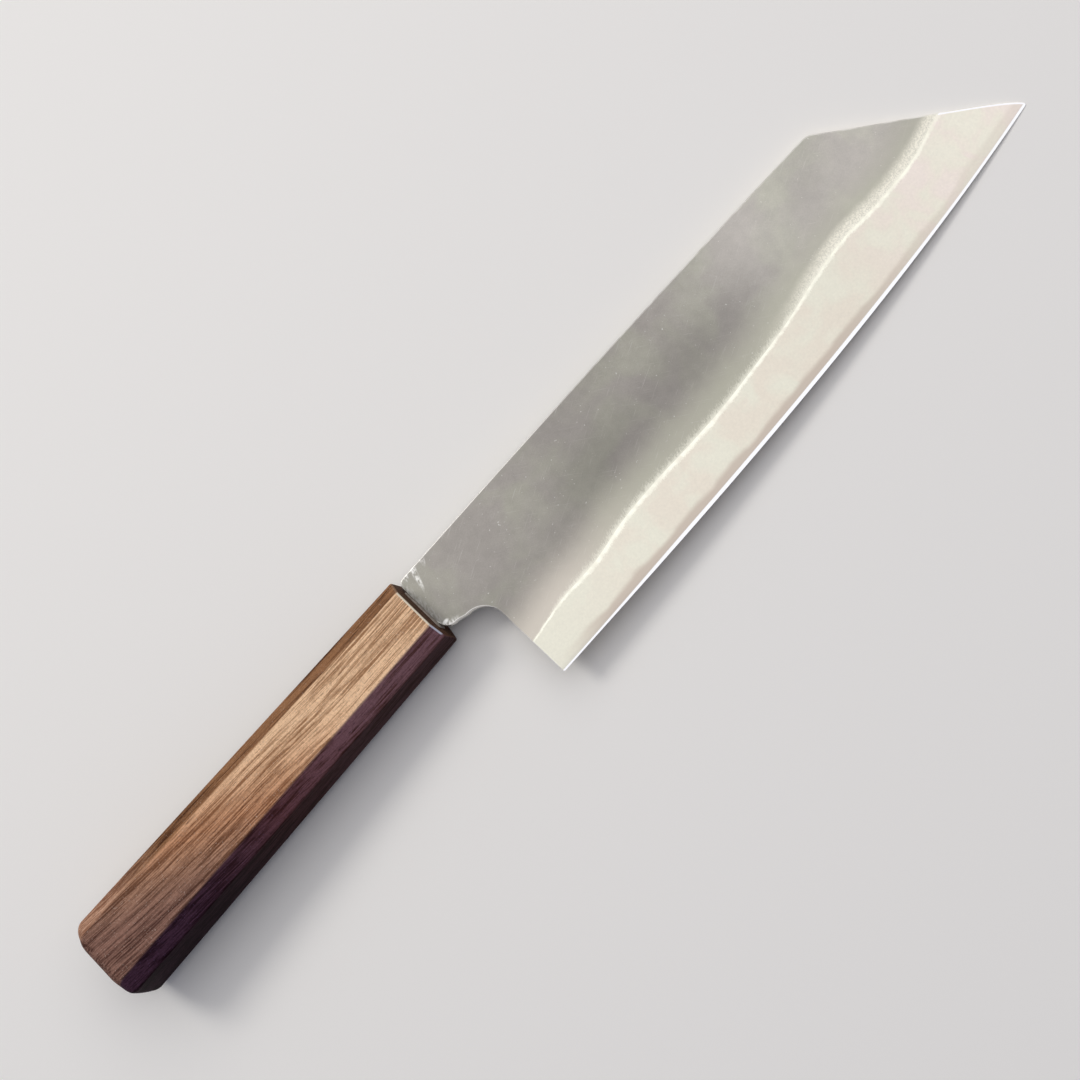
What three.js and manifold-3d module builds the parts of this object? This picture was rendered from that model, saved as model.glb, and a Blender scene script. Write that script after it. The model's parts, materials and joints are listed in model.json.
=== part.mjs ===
// A bunka: a Japanese kitchen knife with a flat-ground laminated blade, a clipped tip and an
// octagonal wooden handle. It lies on its left side, as it does on a board: the front of the handle
// and the tip carry it, and the butt stands a little clear.
//
// The pieces are modelled in the knife's own axes: +X from the handle's front face to the tip,
// +Y to the spine, +Z out of the right face, with the blade's middle plane at z = 0.

import * as THREE from 'three';
import { mergeVertices } from 'three/addons/utils/BufferGeometryUtils.js';
import Module from 'manifold-3d';

const wasm = await Module();
wasm.setup();

// Blade outline, in millimetres
const EDGE_LENGTH = 170.3; // heel to tip, before the tip is eased
const BLADE_HEIGHT = 45.25; // spine at the handle to the flat of the edge
const SPINE_ABOVE_AXIS = 9.2; // spine at the handle, above the handle's axis
const SPINE_DROP = 2.45; // fall of the spine from the handle to the clip
const SPINE_CROWN = 0.55; // how far the spine arches above a straight line
const CLIP_LENGTH = 38; // run of the clip along X
const CLIP_STRAIGHT = 0.4; // share of the clip that it keeps to a straight line for
const CLIP_BULGE = 2.2; // outward pull of the clip's curve, which bends it down to the tip
const CLIP_BULGE_AT = 0.95; // where it pulls, as a share of the clip
const CLIP_EASE = 1.6; // rounding of the corner between spine and clip
const EDGE_FLAT = 27; // straight part of the edge, from the heel
const EDGE_SWEEP_AT = 0.62; // where the edge's curve turns up, as a share of its run
const TIP_RISE = 8.05; // tip above the flat of the edge
const TIP_EASE = 0.8; // rounding of the tip's point
const HEEL_EASE = 0.5; // rounding of the heel's point
const NECK_LENGTH = 13.1; // handle's front face to the heel
const NECK_HEIGHT = 17.25; // neck at the handle
const NECK_FLARE = 0.8; // how much deeper the neck is at the choil
const CHOIL_RADIUS = 6.5; // round between the neck and the heel
const SHOULDER_EASE_SPINE = 1.4; // rounding of the neck's upper corner at the handle
const SHOULDER_EASE_EDGE = 2.2; // and of its lower corner

// Blade sections
const SPINE_THICKNESS = 3.2; // at the handle
const CORE_THICKNESS = 0.8;
const CLAD_LINE_HEEL = 10.85; // line where the core comes out of its cladding, above the edge at the heel
const CLAD_LINE_RISE = 10.9; // rise of that line from heel to tip
const CLAD_LINE_PITCH = 12; // spacing of the places where the hand-forged line is set
const CLAD_LINE_OFFSETS = [-0.23, 0.51, -0.13, 0.71, 0.33, -0.72, -1.41, -1.32, -0.98, 0.3, 0.8, -0.51, -0.55, 1.4];
const EDGE_BEVEL = 0.9; // width of the sharpened bevel
const BEVEL_THICKNESS = 0.26; // blade just behind that bevel
const EDGE_OVERRUN = 0.15; // how far the two bevels would run on before they met
const WELD_GAP = 0.01; // between the welded layers

// Tang
const TANG_LENGTH = 88; // inside the handle
const TANG_HEIGHT = 10; // at the handle's front
const TANG_END_HEIGHT = 6;
const TANG_RELIEF = 0.15; // each side of the tang, below the neck's face
const TANG_END_THINNING = 0.2; // each side, from the front of the tang to its end

// Handle
const HANDLE_LENGTH = 119.3;
const FRONT_HEIGHT = 19.3;
const FRONT_WIDTH = 16.4;
const BUTT_HEIGHT = 22.7;
const BUTT_WIDTH = 20.8;
const FACET_HEIGHT = 3.95; // run of each corner facet, towards the spine or the edge
const FACET_WIDTH = 3.65; // run of each corner facet, towards the sides
const FRONT_CHAMFER = 0.6;
const BUTT_ROUND = 4.6; // rounding of the butt's rim
const BUTT_DOME = 1.2; // crown of the butt's end

// Seating of the tang
const BEDDING = 1; // resin round the tang
const SEAL_THICKNESS = 0.45; // bead between the handle and the neck
const SEAL_OVERLAP = 0.3; // how far the bead reaches past the slot's mouth
const SEAT_GAP = 0.05; // between pieces that seat on each other

// Smoothness of the round stretches
const CURVE_STEPS = 20;
const ROUND_STEPS = 5;
const GRIND_STEPS = 30; // sections of the grind from heel to tip

// Places that follow from those sizes
const shoulderX = SEAL_THICKNESS + 2 * SEAT_GAP;
const heelX = NECK_LENGTH;
const tipX = heelX + EDGE_LENGTH;
const clipX = tipX - CLIP_LENGTH;
const spineY = SPINE_ABOVE_AXIS;
const clipY = spineY - SPINE_DROP;
const edgeY = spineY - BLADE_HEIGHT;
const tipY = edgeY + TIP_RISE;
const neckY = spineY - NECK_HEIGHT;
const choilY = neckY - NECK_FLARE;
const coreHalf = CORE_THICKNESS / 2;

const point = (x, y) => new THREE.Vector2(x, y);

// The edge runs straight from the heel and then sweeps up to the tip.
const sweepStart = point(heelX + EDGE_FLAT, edgeY);
const sweepTurn = point(THREE.MathUtils.lerp(sweepStart.x, tipX, EDGE_SWEEP_AT), edgeY);
const edgeSweep = new THREE.QuadraticBezierCurve(sweepStart, sweepTurn, point(tipX, tipY));

// Height of the edge: flat, then up the sweep, at the share of the sweep that lies at x.
function edgeHeight(x) {
  if (x <= sweepStart.x) return edgeY;
  const square = sweepStart.x - 2 * sweepTurn.x + tipX;
  const single = 2 * (sweepTurn.x - sweepStart.x);
  const share = (Math.sqrt(single ** 2 - 4 * square * (sweepStart.x - x)) - single) / (2 * square);
  return edgeY + TIP_RISE * share ** 2;
}

// Line where the ground faces would meet an even core: straight, higher at the tip than at the heel.
const cladLineY = (x) => edgeY + CLAD_LINE_HEEL + (CLAD_LINE_RISE * (x - heelX)) / EDGE_LENGTH;

// Wander of that line, because the forged core is nowhere quite even: a smooth curve through the offsets.
const wander = new THREE.SplineCurve(CLAD_LINE_OFFSETS.map((offset, i) => point(i * CLAD_LINE_PITCH, offset)));
const wanderRun = (CLAD_LINE_OFFSETS.length - 1) * CLAD_LINE_PITCH;
const lineWander = (x) => wander.getPoint(THREE.MathUtils.clamp((x - heelX) / wanderRun, 0, 1)).y;

// Each ground face is one plane. It meets the core at that line and the spine at the handle, so the
// blade thins from spine to edge and from handle to tip.
const faceSlope = (SPINE_THICKNESS / 2 - coreHalf) / (spineY - cladLineY(0));
const faceHalf = (x, y) => coreHalf + faceSlope * (y - cladLineY(x));

// Half of the core's thickness, which wanders as the line does: where the core is thick, it comes out higher.
const layerHalf = (x) => coreHalf + faceSlope * lineWander(x);

// Places of the grind's sections: the handle, then evenly from heel to tip, and past it.
const grindX = [0];
for (let step = 0; step <= GRIND_STEPS; step += 1) grindX.push(heelX + (EDGE_LENGTH * step) / GRIND_STEPS);
grindX.push(tipX + CLIP_EASE);

// Tang sections, which thin towards the end.
const tangShare = (x) => (shoulderX - x) / (shoulderX + TANG_LENGTH);
const tangHalfHeight = (x) => THREE.MathUtils.lerp(TANG_HEIGHT, TANG_END_HEIGHT, tangShare(x)) / 2;
const tangRoot = faceHalf(shoulderX, -TANG_HEIGHT / 2) - TANG_RELIEF;
const tangHalfWidth = (x) => tangRoot - TANG_END_THINNING * tangShare(x);

// Closed mesh from rings of points of equal count: walls between neighbours, a fan at each end.
function loft(rings) {
  const count = rings[0].length;
  const centre = (ring) => ring.reduce((sum, p) => sum.add(p), new THREE.Vector3()).divideScalar(count);
  const vertices = [...rings.flat(), centre(rings[0]), centre(rings.at(-1))];
  const firstCentre = vertices.length - 2;
  const lastCentre = vertices.length - 1;
  const lastRing = (rings.length - 1) * count;
  const index = [];
  for (let i = 0; i < count; i += 1) {
    const next = (i + 1) % count;
    for (let row = 0; row < lastRing; row += count) {
      index.push(row + i, row + next, row + count + next);
      index.push(row + i, row + count + next, row + count + i);
    }
    index.push(firstCentre, next, i);
    index.push(lastCentre, lastRing + i, lastRing + next);
  }
  const geometry = new THREE.BufferGeometry().setFromPoints(vertices);
  geometry.setIndex(index);
  return geometry;
}

// Solid for cutting and joining, from a closed geometry.
function solid(geometry) {
  const bare = geometry.clone();
  bare.deleteAttribute('normal');
  bare.deleteAttribute('uv');
  const merged = mergeVertices(bare);
  const vertProperties = new Float32Array(merged.attributes.position.array);
  const triVerts = new Uint32Array(merged.index.array);
  return new wasm.Manifold(new wasm.Mesh({ numProp: 3, vertProperties, triVerts }));
}

// Geometry for a mesh, from such a solid.
function shape(body) {
  const { vertProperties, triVerts } = body.getMesh();
  const geometry = new THREE.BufferGeometry();
  geometry.setAttribute('position', new THREE.BufferAttribute(vertProperties, 3));
  geometry.setIndex(new THREE.BufferAttribute(triVerts, 1));
  geometry.computeVertexNormals();
  return geometry;
}

// Box between two corners.
function block(low, high) {
  const size = new THREE.Vector3().subVectors(high, low);
  const middle = new THREE.Vector3().addVectors(low, high).divideScalar(2);
  return solid(new THREE.BoxGeometry(size.x, size.y, size.z).translate(middle.x, middle.y, middle.z));
}

// Side view of the blade, from the shoulder along the neck, heel, edge and clip and back by the spine.
function bladeOutline() {
  const corner = point(clipX, clipY);
  const tip = point(tipX, tipY);
  const clipRun = tip.clone().sub(corner).normalize();
  const clipNormal = point(-clipRun.y, clipRun.x);
  const clipBend = corner.clone().lerp(tip, CLIP_BULGE_AT).addScaledVector(clipNormal, CLIP_BULGE);
  const clipStraight = corner.clone().lerp(tip, CLIP_STRAIGHT);
  const clipStart = corner.clone().addScaledVector(clipRun, CLIP_EASE);
  const clip = new THREE.CubicBezierCurve(tip, clipBend, clipStraight, clipStart);
  const edgeEnd = tip.clone().addScaledVector(edgeSweep.getTangent(1), -TIP_EASE);
  const clipEnd = tip.clone().addScaledVector(clip.getTangent(0), TIP_EASE);
  const clearOfTip = (p) => p.distanceTo(tip) > TIP_EASE;
  const spineMiddle = point(shoulderX, spineY).lerp(corner, 0.5);
  const spinePull = point(spineMiddle.x, spineMiddle.y + 2 * SPINE_CROWN);
  const spineRun = spinePull.clone().sub(corner).normalize();
  const spineEnd = corner.clone().addScaledVector(spineRun, CLIP_EASE);
  const choilX = heelX - CHOIL_RADIUS;

  const outline = new THREE.Shape();
  outline.moveTo(shoulderX, neckY + SHOULDER_EASE_EDGE);
  outline.quadraticCurveTo(shoulderX, neckY, shoulderX + SHOULDER_EASE_EDGE, neckY);
  outline.lineTo(choilX, choilY);
  outline.absarc(choilX, choilY - CHOIL_RADIUS, CHOIL_RADIUS, Math.PI / 2, 0, true);
  outline.lineTo(heelX, edgeY + HEEL_EASE);
  outline.quadraticCurveTo(heelX, edgeY, heelX + HEEL_EASE, edgeY);
  for (const p of edgeSweep.getPoints(CURVE_STEPS).filter(clearOfTip)) outline.lineTo(p.x, p.y);
  outline.lineTo(edgeEnd.x, edgeEnd.y);
  outline.quadraticCurveTo(tip.x, tip.y, clipEnd.x, clipEnd.y);
  for (const p of clip.getPoints(CURVE_STEPS).filter(clearOfTip)) outline.lineTo(p.x, p.y);
  outline.quadraticCurveTo(corner.x, corner.y, spineEnd.x, spineEnd.y);
  outline.quadraticCurveTo(spinePull.x, spinePull.y, shoulderX + SHOULDER_EASE_SPINE, spineY);
  outline.quadraticCurveTo(shoulderX, spineY, shoulderX, spineY - SHOULDER_EASE_SPINE);
  return outline;
}

// What the grinding leaves: the two face planes down to the core, the core's own faces down to the
// sharpened bevel, and the bevel's two sides. Its sections follow the edge and run past the outline.
function grindBody() {
  const topY = spineY + BLADE_HEIGHT;
  const section = (x) => {
    const y = edgeHeight(x);
    const right = [
      [topY, faceHalf(x, topY)],
      [cladLineY(x) + lineWander(x), layerHalf(x)],
      [y + EDGE_BEVEL, BEVEL_THICKNESS / 2],
    ];
    const left = right.map(([py, pz]) => [py, -pz]).reverse();
    const ring = [...right, [y - EDGE_OVERRUN, 0], ...left];
    return ring.map(([py, pz]) => new THREE.Vector3(x, py, pz));
  };
  return solid(loft(grindX.map(section)));
}

// Slab as thick as the core, grown on both sides, that runs past the blank at every end.
function coreSlab(grow) {
  const section = (x) => {
    const half = layerHalf(x) + grow;
    return [
      new THREE.Vector3(x, 2 * BLADE_HEIGHT, half),
      new THREE.Vector3(x, -2 * BLADE_HEIGHT, half),
      new THREE.Vector3(x, -2 * BLADE_HEIGHT, -half),
      new THREE.Vector3(x, 2 * BLADE_HEIGHT, -half),
    ];
  };
  return solid(loft([-2 * TANG_LENGTH, ...grindX].map(section)));
}

// Tapered bar of the tang's shape, grown on every side, from a front plane to past the tang's end.
function tangBar(grow, frontX) {
  const section = (x, shareX) => {
    const halfHeight = tangHalfHeight(shareX) + grow;
    const halfWidth = tangHalfWidth(shareX) + grow;
    return [
      new THREE.Vector3(x, halfHeight, halfWidth),
      new THREE.Vector3(x, -halfHeight, halfWidth),
      new THREE.Vector3(x, -halfHeight, -halfWidth),
      new THREE.Vector3(x, halfHeight, -halfWidth),
    ];
  };
  return solid(loft([section(-TANG_LENGTH - grow, -TANG_LENGTH), section(frontX, frontX)]));
}

// Forged and ground blank of all three layers, with its tang.
function blank() {
  const depth = 2 * SPINE_THICKNESS;
  const plate = new THREE.ExtrudeGeometry(bladeOutline(), {
    depth,
    bevelEnabled: false,
    curveSegments: CURVE_STEPS,
  });
  plate.translate(0, 0, -depth / 2);
  const tangRootX = shoulderX + Math.max(SHOULDER_EASE_SPINE, SHOULDER_EASE_EDGE);
  return solid(plate).intersect(grindBody()).add(tangBar(0, tangRootX));
}

// Cladding of the blank on one side of its core.
function cladding(body, side) {
  const near = new THREE.Vector3(-2 * TANG_LENGTH, -2 * BLADE_HEIGHT, Math.min(0, side * 2 * SPINE_THICKNESS));
  const far = new THREE.Vector3(2 * tipX, 2 * BLADE_HEIGHT, Math.max(0, side * 2 * SPINE_THICKNESS));
  return body.intersect(block(near, far)).subtract(coreSlab(WELD_GAP));
}

// Octagonal bar that tapers from butt to front, with a chamfered front and a rounded, domed butt.
function handleBar() {
  const share = (x) => -x / HANDLE_LENGTH;
  const octagon = (x, inset, sectionX = x) => {
    const halfHeight = THREE.MathUtils.lerp(FRONT_HEIGHT, BUTT_HEIGHT, share(sectionX)) / 2;
    const halfWidth = THREE.MathUtils.lerp(FRONT_WIDTH, BUTT_WIDTH, share(sectionX)) / 2;
    const scaleY = (halfHeight - inset) / halfHeight;
    const scaleZ = (halfWidth - inset) / halfWidth;
    const quarter = [
      [halfHeight, halfWidth - FACET_WIDTH],
      [halfHeight - FACET_HEIGHT, halfWidth],
    ];
    const right = [...quarter, ...quarter.map(([y, z]) => [-y, z]).reverse()];
    const ring = [...right, ...right.map(([y, z]) => [-y, -z])];
    return ring.map(([y, z]) => new THREE.Vector3(x, y * scaleY, z * scaleZ));
  };
  const rimX = -HANDLE_LENGTH + BUTT_DOME + BUTT_ROUND;
  const rings = [octagon(0, FRONT_CHAMFER), octagon(-FRONT_CHAMFER, 0), octagon(rimX, 0)];
  for (let step = 1; step <= ROUND_STEPS; step += 1) {
    const turn = (step / ROUND_STEPS) * (Math.PI / 2);
    const inset = BUTT_ROUND * (1 - Math.cos(turn));
    rings.push(octagon(rimX - BUTT_ROUND * Math.sin(turn), inset, rimX));
  }
  const domeRun = BUTT_WIDTH / 2 - BUTT_ROUND;
  for (let step = 1; step < ROUND_STEPS; step += 1) {
    const outward = 1 - step / ROUND_STEPS;
    const domeX = -HANDLE_LENGTH + BUTT_DOME * outward ** 2;
    rings.push(octagon(domeX, BUTT_ROUND + domeRun * (1 - outward), rimX));
  }
  return solid(loft(rings.reverse()));
}

const PALE_STEEL = { color: 0xd8d3c6, metalness: 0.9, roughness: 0.4 };
const GREY_IRON = { color: 0x9d9c93, metalness: 0.9, roughness: 0.5 };
const WALNUT = { color: 0x96694a, metalness: 0, roughness: 0.55 };
const RESIN = { color: 0x2e2621, metalness: 0, roughness: 0.5 };
const WAX = { color: 0xb9ac98, metalness: 0, roughness: 0.6 };

function piece(name, geometry, finish) {
  const mesh = new THREE.Mesh(geometry, new THREE.MeshStandardMaterial(finish));
  mesh.name = name;
  return mesh;
}

function buildKnife() {
  const body = blank();
  const farZ = 2 * SPINE_THICKNESS;
  const slot = tangBar(BEDDING, FRONT_CHAMFER);
  const bedding = tangBar(BEDDING - SEAT_GAP, 0).subtract(tangBar(SEAT_GAP, FRONT_CHAMFER));
  const bead = tangBar(BEDDING + SEAL_OVERLAP, shoulderX - SEAT_GAP)
    .intersect(block(new THREE.Vector3(SEAT_GAP, -spineY, -farZ), new THREE.Vector3(shoulderX, spineY, farZ)))
    .subtract(tangBar(SEAT_GAP, shoulderX));

  const knife = new THREE.Group();
  knife.add(piece('core_steel', shape(body.intersect(coreSlab(0))), PALE_STEEL));
  knife.add(piece('right_cladding', shape(cladding(body, 1)), GREY_IRON));
  knife.add(piece('left_cladding', shape(cladding(body, -1)), GREY_IRON));
  knife.add(piece('handle', shape(handleBar().subtract(slot)), WALNUT));
  knife.add(piece('tang_bedding', shape(bedding), RESIN));
  knife.add(piece('mouth_seal', shape(bead), WAX));
  return knife;
}

// Angle by which the knife dips on its left side, turning on the handle's front edge until the blade
// meets the board.
function restTilt(knife) {
  const frontShare = FRONT_CHAMFER / HANDLE_LENGTH;
  const carriedX = -FRONT_CHAMFER;
  const carriedZ = -THREE.MathUtils.lerp(FRONT_WIDTH, BUTT_WIDTH, frontShare) / 2;
  let tilt = Math.PI / 2;
  for (const { geometry } of knife.children) {
    const { position } = geometry.attributes;
    for (let i = 0; i < position.count; i += 1) {
      const ahead = position.getX(i) - carriedX;
      if (position.getX(i) > heelX) tilt = Math.min(tilt, Math.atan2(position.getZ(i) - carriedZ, ahead));
    }
  }
  return tilt;
}

// Lay the knife on its left side, tip down, and put the origin under the middle of its box.
function layDown(knife) {
  knife.rotation.y = restTilt(knife);
  const part = new THREE.Group();
  part.add(knife);
  const box = new THREE.Box3().setFromObject(part, true);
  const middle = box.getCenter(new THREE.Vector3());
  knife.position.set(-middle.x, -middle.y, -box.min.z);
  return part;
}

export default layDown(buildKnife());
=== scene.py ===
"""Bunka knife: a laminated blade with a clipped tip, in an octagonal walnut handle.

All shapes are worked out in the knife's own axes, in millimetres: +X from the handle's front face to
the tip, +Y to the spine, +Z out of the right face, with the blade's middle plane at z = 0. RestFrame lays
them down in the part's frame, in metres, where the knife lies on its left side.
"""

import json
import logging
import math
from collections.abc import Callable, Mapping, Sequence
from dataclasses import dataclass, field
from enum import Enum
from functools import cached_property, partial
from typing import Any

import bmesh
import bpy
import numpy as np
from mathutils import Matrix
from numpy.typing import NDArray

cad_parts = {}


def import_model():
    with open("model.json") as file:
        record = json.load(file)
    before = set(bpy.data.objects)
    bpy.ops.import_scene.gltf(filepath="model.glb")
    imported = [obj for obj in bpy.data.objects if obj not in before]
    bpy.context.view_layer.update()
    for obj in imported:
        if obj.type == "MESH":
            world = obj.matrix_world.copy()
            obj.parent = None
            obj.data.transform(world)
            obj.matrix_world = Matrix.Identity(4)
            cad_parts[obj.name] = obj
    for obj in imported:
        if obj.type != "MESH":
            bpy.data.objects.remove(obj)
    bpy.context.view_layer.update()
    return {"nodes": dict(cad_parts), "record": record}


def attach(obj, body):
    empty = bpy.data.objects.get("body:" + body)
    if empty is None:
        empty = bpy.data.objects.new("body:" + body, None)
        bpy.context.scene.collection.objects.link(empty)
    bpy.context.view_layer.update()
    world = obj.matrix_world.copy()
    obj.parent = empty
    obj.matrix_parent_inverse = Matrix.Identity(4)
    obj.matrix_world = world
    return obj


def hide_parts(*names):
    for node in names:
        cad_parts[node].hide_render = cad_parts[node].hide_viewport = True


LOG = logging.getLogger("bunka_knife")
# Place of the record's two blade mounts in the knife's axes, in millimetres.
MOUNT_STATION = (75.0, -4.0)
# Degrees between two faces past which the arris stays crisp, on the knife and on the soft bead.
CRISP = 35.0
BEAD_CRISP = 40.0
# Millimetres in a metre, and a length in millimetres that counts as none.
MM = 1000.0
TINY = 1e-6
BLACK = (0.0, 0.0, 0.0, 1.0)

Array = NDArray[np.float64]
Inputs = Mapping[str | int, Any]
Settings = Mapping[str, Any]
Point = Sequence[float]
Triple = tuple[float, float, float]
Tree = bpy.types.NodeTree
Socket = bpy.types.NodeSocket
Object = bpy.types.Object
Material = bpy.types.Material
# Settings and inputs of a node, and what adds a node to a tree.
Setup = tuple[Settings, Inputs]
Adder = Callable[..., Socket]

# Settings of nodes that the finishes share.
BLEND: Settings = {"data_type": "RGBA"}
TINT: Settings = {"data_type": "RGBA", "blend_type": "MULTIPLY"}
PLUS: Settings = {"operation": "ADD"}
MINUS: Settings = {"operation": "SUBTRACT"}
ABSOLUTE: Settings = {"operation": "ABSOLUTE"}
SCALED: Settings = {"operation": "SCALE"}
LENGTH: Settings = {"operation": "LENGTH"}
TIMES: Settings = {"operation": "MULTIPLY"}
TIMES_PLUS: Settings = {"operation": "MULTIPLY_ADD"}
OVER: Settings = {"operation": "DIVIDE"}
EITHER: Settings = {"operation": "MAXIMUM"}


class Side(Enum):
    """Side of the blade's middle plane, by the sign of z."""

    RIGHT = 1.0
    LEFT = -1.0


class Slot(Enum):
    """Material slots of the record that the new pieces take."""

    CORE = "core_steel"
    CLADDING = "cladding"
    WALNUT = "walnut"
    SEAL = "seal"


def linear(colour: str) -> tuple[float, float, float, float]:
    """Turn an sRGB hex colour into linear RGBA.

    Each channel c is c / 12.92 below 0.04045 and ((c + 0.055) / 1.055) ^ 2.4 above it.

    Args:
        colour: Colour as "#rrggbb".

    Returns:
        Linear red, green, blue and an alpha of 1.
    """
    channels = np.array([int(colour[i : i + 2], 16) for i in (1, 3, 5)]) / 255.0
    low = channels / 12.92
    high = ((channels + 0.055) / 1.055) ** 2.4
    red, green, blue = np.where(channels <= 0.04045, low, high)
    return float(red), float(green), float(blue), 1.0


def feed(node: bpy.types.Node, inputs: Inputs) -> None:
    """Give a node its inputs: values are set, and output sockets are linked."""
    for key, value in inputs.items():
        if isinstance(value, Socket):
            node.id_data.links.new(value, node.inputs[key])
        else:
            node.inputs[key].default_value = value


def add_node(tree: Tree, kind: str, settings: Settings, inputs: Inputs, output: str | int = 0) -> Socket:
    """Add one node with its settings, its input values and its links.

    Args:
        tree: Tree that gets the node.
        kind: Blender's name of the shader node, such as Math.
        settings: Properties of the node.
        inputs: Values for its input sockets, or output sockets to link to them.
        output: Name or number of the output socket that is wanted.

    Returns:
        That output socket.
    """
    node = tree.nodes.new("ShaderNode" + kind)
    for name, value in settings.items():
        setattr(node, name, value)
    feed(node, inputs)
    return node.outputs[output]


def put(name: str, data: bpy.types.ID, axes: Array | None = None, place: Point = ()) -> Object:
    """Add an object to the scene.

    Args:
        name: Name of the object.
        data: Its mesh, light or camera.
        axes: Its own axes as the columns of a 3 by 3 matrix, where it isn't at the origin.
        place: Its place in metres then.

    Returns:
        The object.
    """
    added = bpy.data.objects.new(name, data)
    if axes is not None:
        matrix = np.eye(4)
        matrix[:3, :3] = axes
        matrix[:3, 3] = place
        added.matrix_world = Matrix(matrix.tolist())
    bpy.context.scene.collection.objects.link(added)
    return added


def curve(start: Point, pull: Point, end: Point, count: int) -> Array:
    """Points on the quadratic curve (1 - t)^2 start + 2 t (1 - t) pull + t^2 end.

    Args:
        start: First point.
        pull: Point that the curve is pulled towards.
        end: Last point.
        count: Number of points.

    Returns:
        Array of count by 2.
    """
    t = np.linspace(0.0, 1.0, count)[:, None]
    outer = (1 - t) ** 2 * np.asarray(start) + t**2 * np.asarray(end)
    return outer + 2 * t * (1 - t) * np.asarray(pull)


def curve_of_four(start: Point, first_pull: Point, second_pull: Point, end: Point, count: int) -> Array:
    """Points on the cubic curve (1-t)^3 start + 3t(1-t)^2 first_pull + 3t^2(1-t) second_pull + t^3 end.

    Args:
        start: First point.
        first_pull: Point that the curve leaves towards.
        second_pull: Point that it comes in from.
        end: Last point.
        count: Number of points.

    Returns:
        Array of count by 2.
    """
    t = np.linspace(0.0, 1.0, count)[:, None]
    first = (1 - t) ** 3 * np.asarray(start) + 3 * t * (1 - t) ** 2 * np.asarray(first_pull)
    return first + 3 * t**2 * (1 - t) * np.asarray(second_pull) + t**3 * np.asarray(end)


def straight(start: Point, end: Point, count: int) -> Array:
    """Evenly spaced points from start to end, as an array of count by 2."""
    return np.linspace(np.asarray(start, dtype=float), np.asarray(end, dtype=float), count)


def measure(path: Array) -> Array:
    """Length along a path at each of its points, from 0."""
    steps = np.linalg.norm(np.diff(path, axis=0), axis=1)
    return np.concatenate([[0.0], np.cumsum(steps)])


def stretch(path: Array, first_x: float, last_x: float, count: int) -> Array:
    """Evenly spaced points on the stretch of a path between two x positions.

    Args:
        path: Points whose x rises all the way.
        first_x: Where the stretch starts.
        last_x: Where it ends.
        count: Number of points.

    Returns:
        Array of count by 2, spaced by length along the path.
    """
    along = measure(path)
    first, last = np.interp([first_x, last_x], path[:, 0], along)
    at = np.linspace(first, last, count)
    return np.stack([np.interp(at, along, path[:, 0]), np.interp(at, along, path[:, 1])], axis=1)


def mixed(low: Array | float, high: Array | float, share: Array) -> Array:
    """Straight blend of two values: low + share (high - low)."""
    return low + share * (high - low)


@dataclass(frozen=True)
class RestFrame:
    """Place of the knife's own axes in the part's frame: p = R_y(tilt) k / 1000 + origin.

    Args:
        tilt: Turn about +Y, in radians, at which the tip and the handle's front edge both rest.
        origin: Middle of the handle's front face, in metres.
    """

    tilt: float
    origin: Triple

    @classmethod
    def from_record(cls, record: Mapping[str, Any], station: tuple[float, float]) -> "RestFrame":
        """Read the frame off the two mounts that lie opposite each other on the blade.

        Args:
            record: Packed record of the part.
            station: Their x and y in the knife's axes, in millimetres.

        Returns:
            The frame whose +Z lies halfway between the two outward axes.
        """
        mounts = {mount["name"]: mount for mount in record["mounts"]}
        right = mounts["right_blade_flat"]
        left = mounts["left_blade_flat"]
        across = np.subtract(right["axis"], left["axis"])
        tilt = math.atan2(across[0], across[2])
        middle = np.add(right["pos_m"], left["pos_m"]) / 2
        bare = cls(tilt, (0.0, 0.0, 0.0))
        origin = middle - bare.lay(np.array([station[0], station[1], 0.0]))
        return cls(tilt, tuple(float(v) for v in origin))

    def turn(self) -> Array:
        """Rotation from the knife's axes to the part's, as a 3 by 3 matrix."""
        c, s = math.cos(self.tilt), math.sin(self.tilt)
        return np.array([[c, 0.0, s], [0.0, 1.0, 0.0], [-s, 0.0, c]])

    def lay(self, points: Array) -> Array:
        """Points of the knife's axes, in millimetres, in the part's frame in metres."""
        return points @ self.turn().T / MM + np.asarray(self.origin)

    def knife_coordinates(self, tree: Tree) -> Socket:
        """Texture coordinates in the knife's axes, in millimetres: 1000 R^T v - 1000 R^T origin.

        Args:
            tree: Tree that gets the nodes.

        Returns:
            Output socket with the coordinates.
        """
        shift = -self.turn().T @ np.asarray(self.origin) * MM
        source = add_node(tree, "TexCoord", {}, {}, "Object")
        turned = {"Location": tuple(shift), "Rotation": (0.0, -self.tilt, 0.0), "Scale": (MM, MM, MM)}
        return add_node(tree, "Mapping", {"vector_type": "POINT"}, {"Vector": source, **turned})


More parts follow.
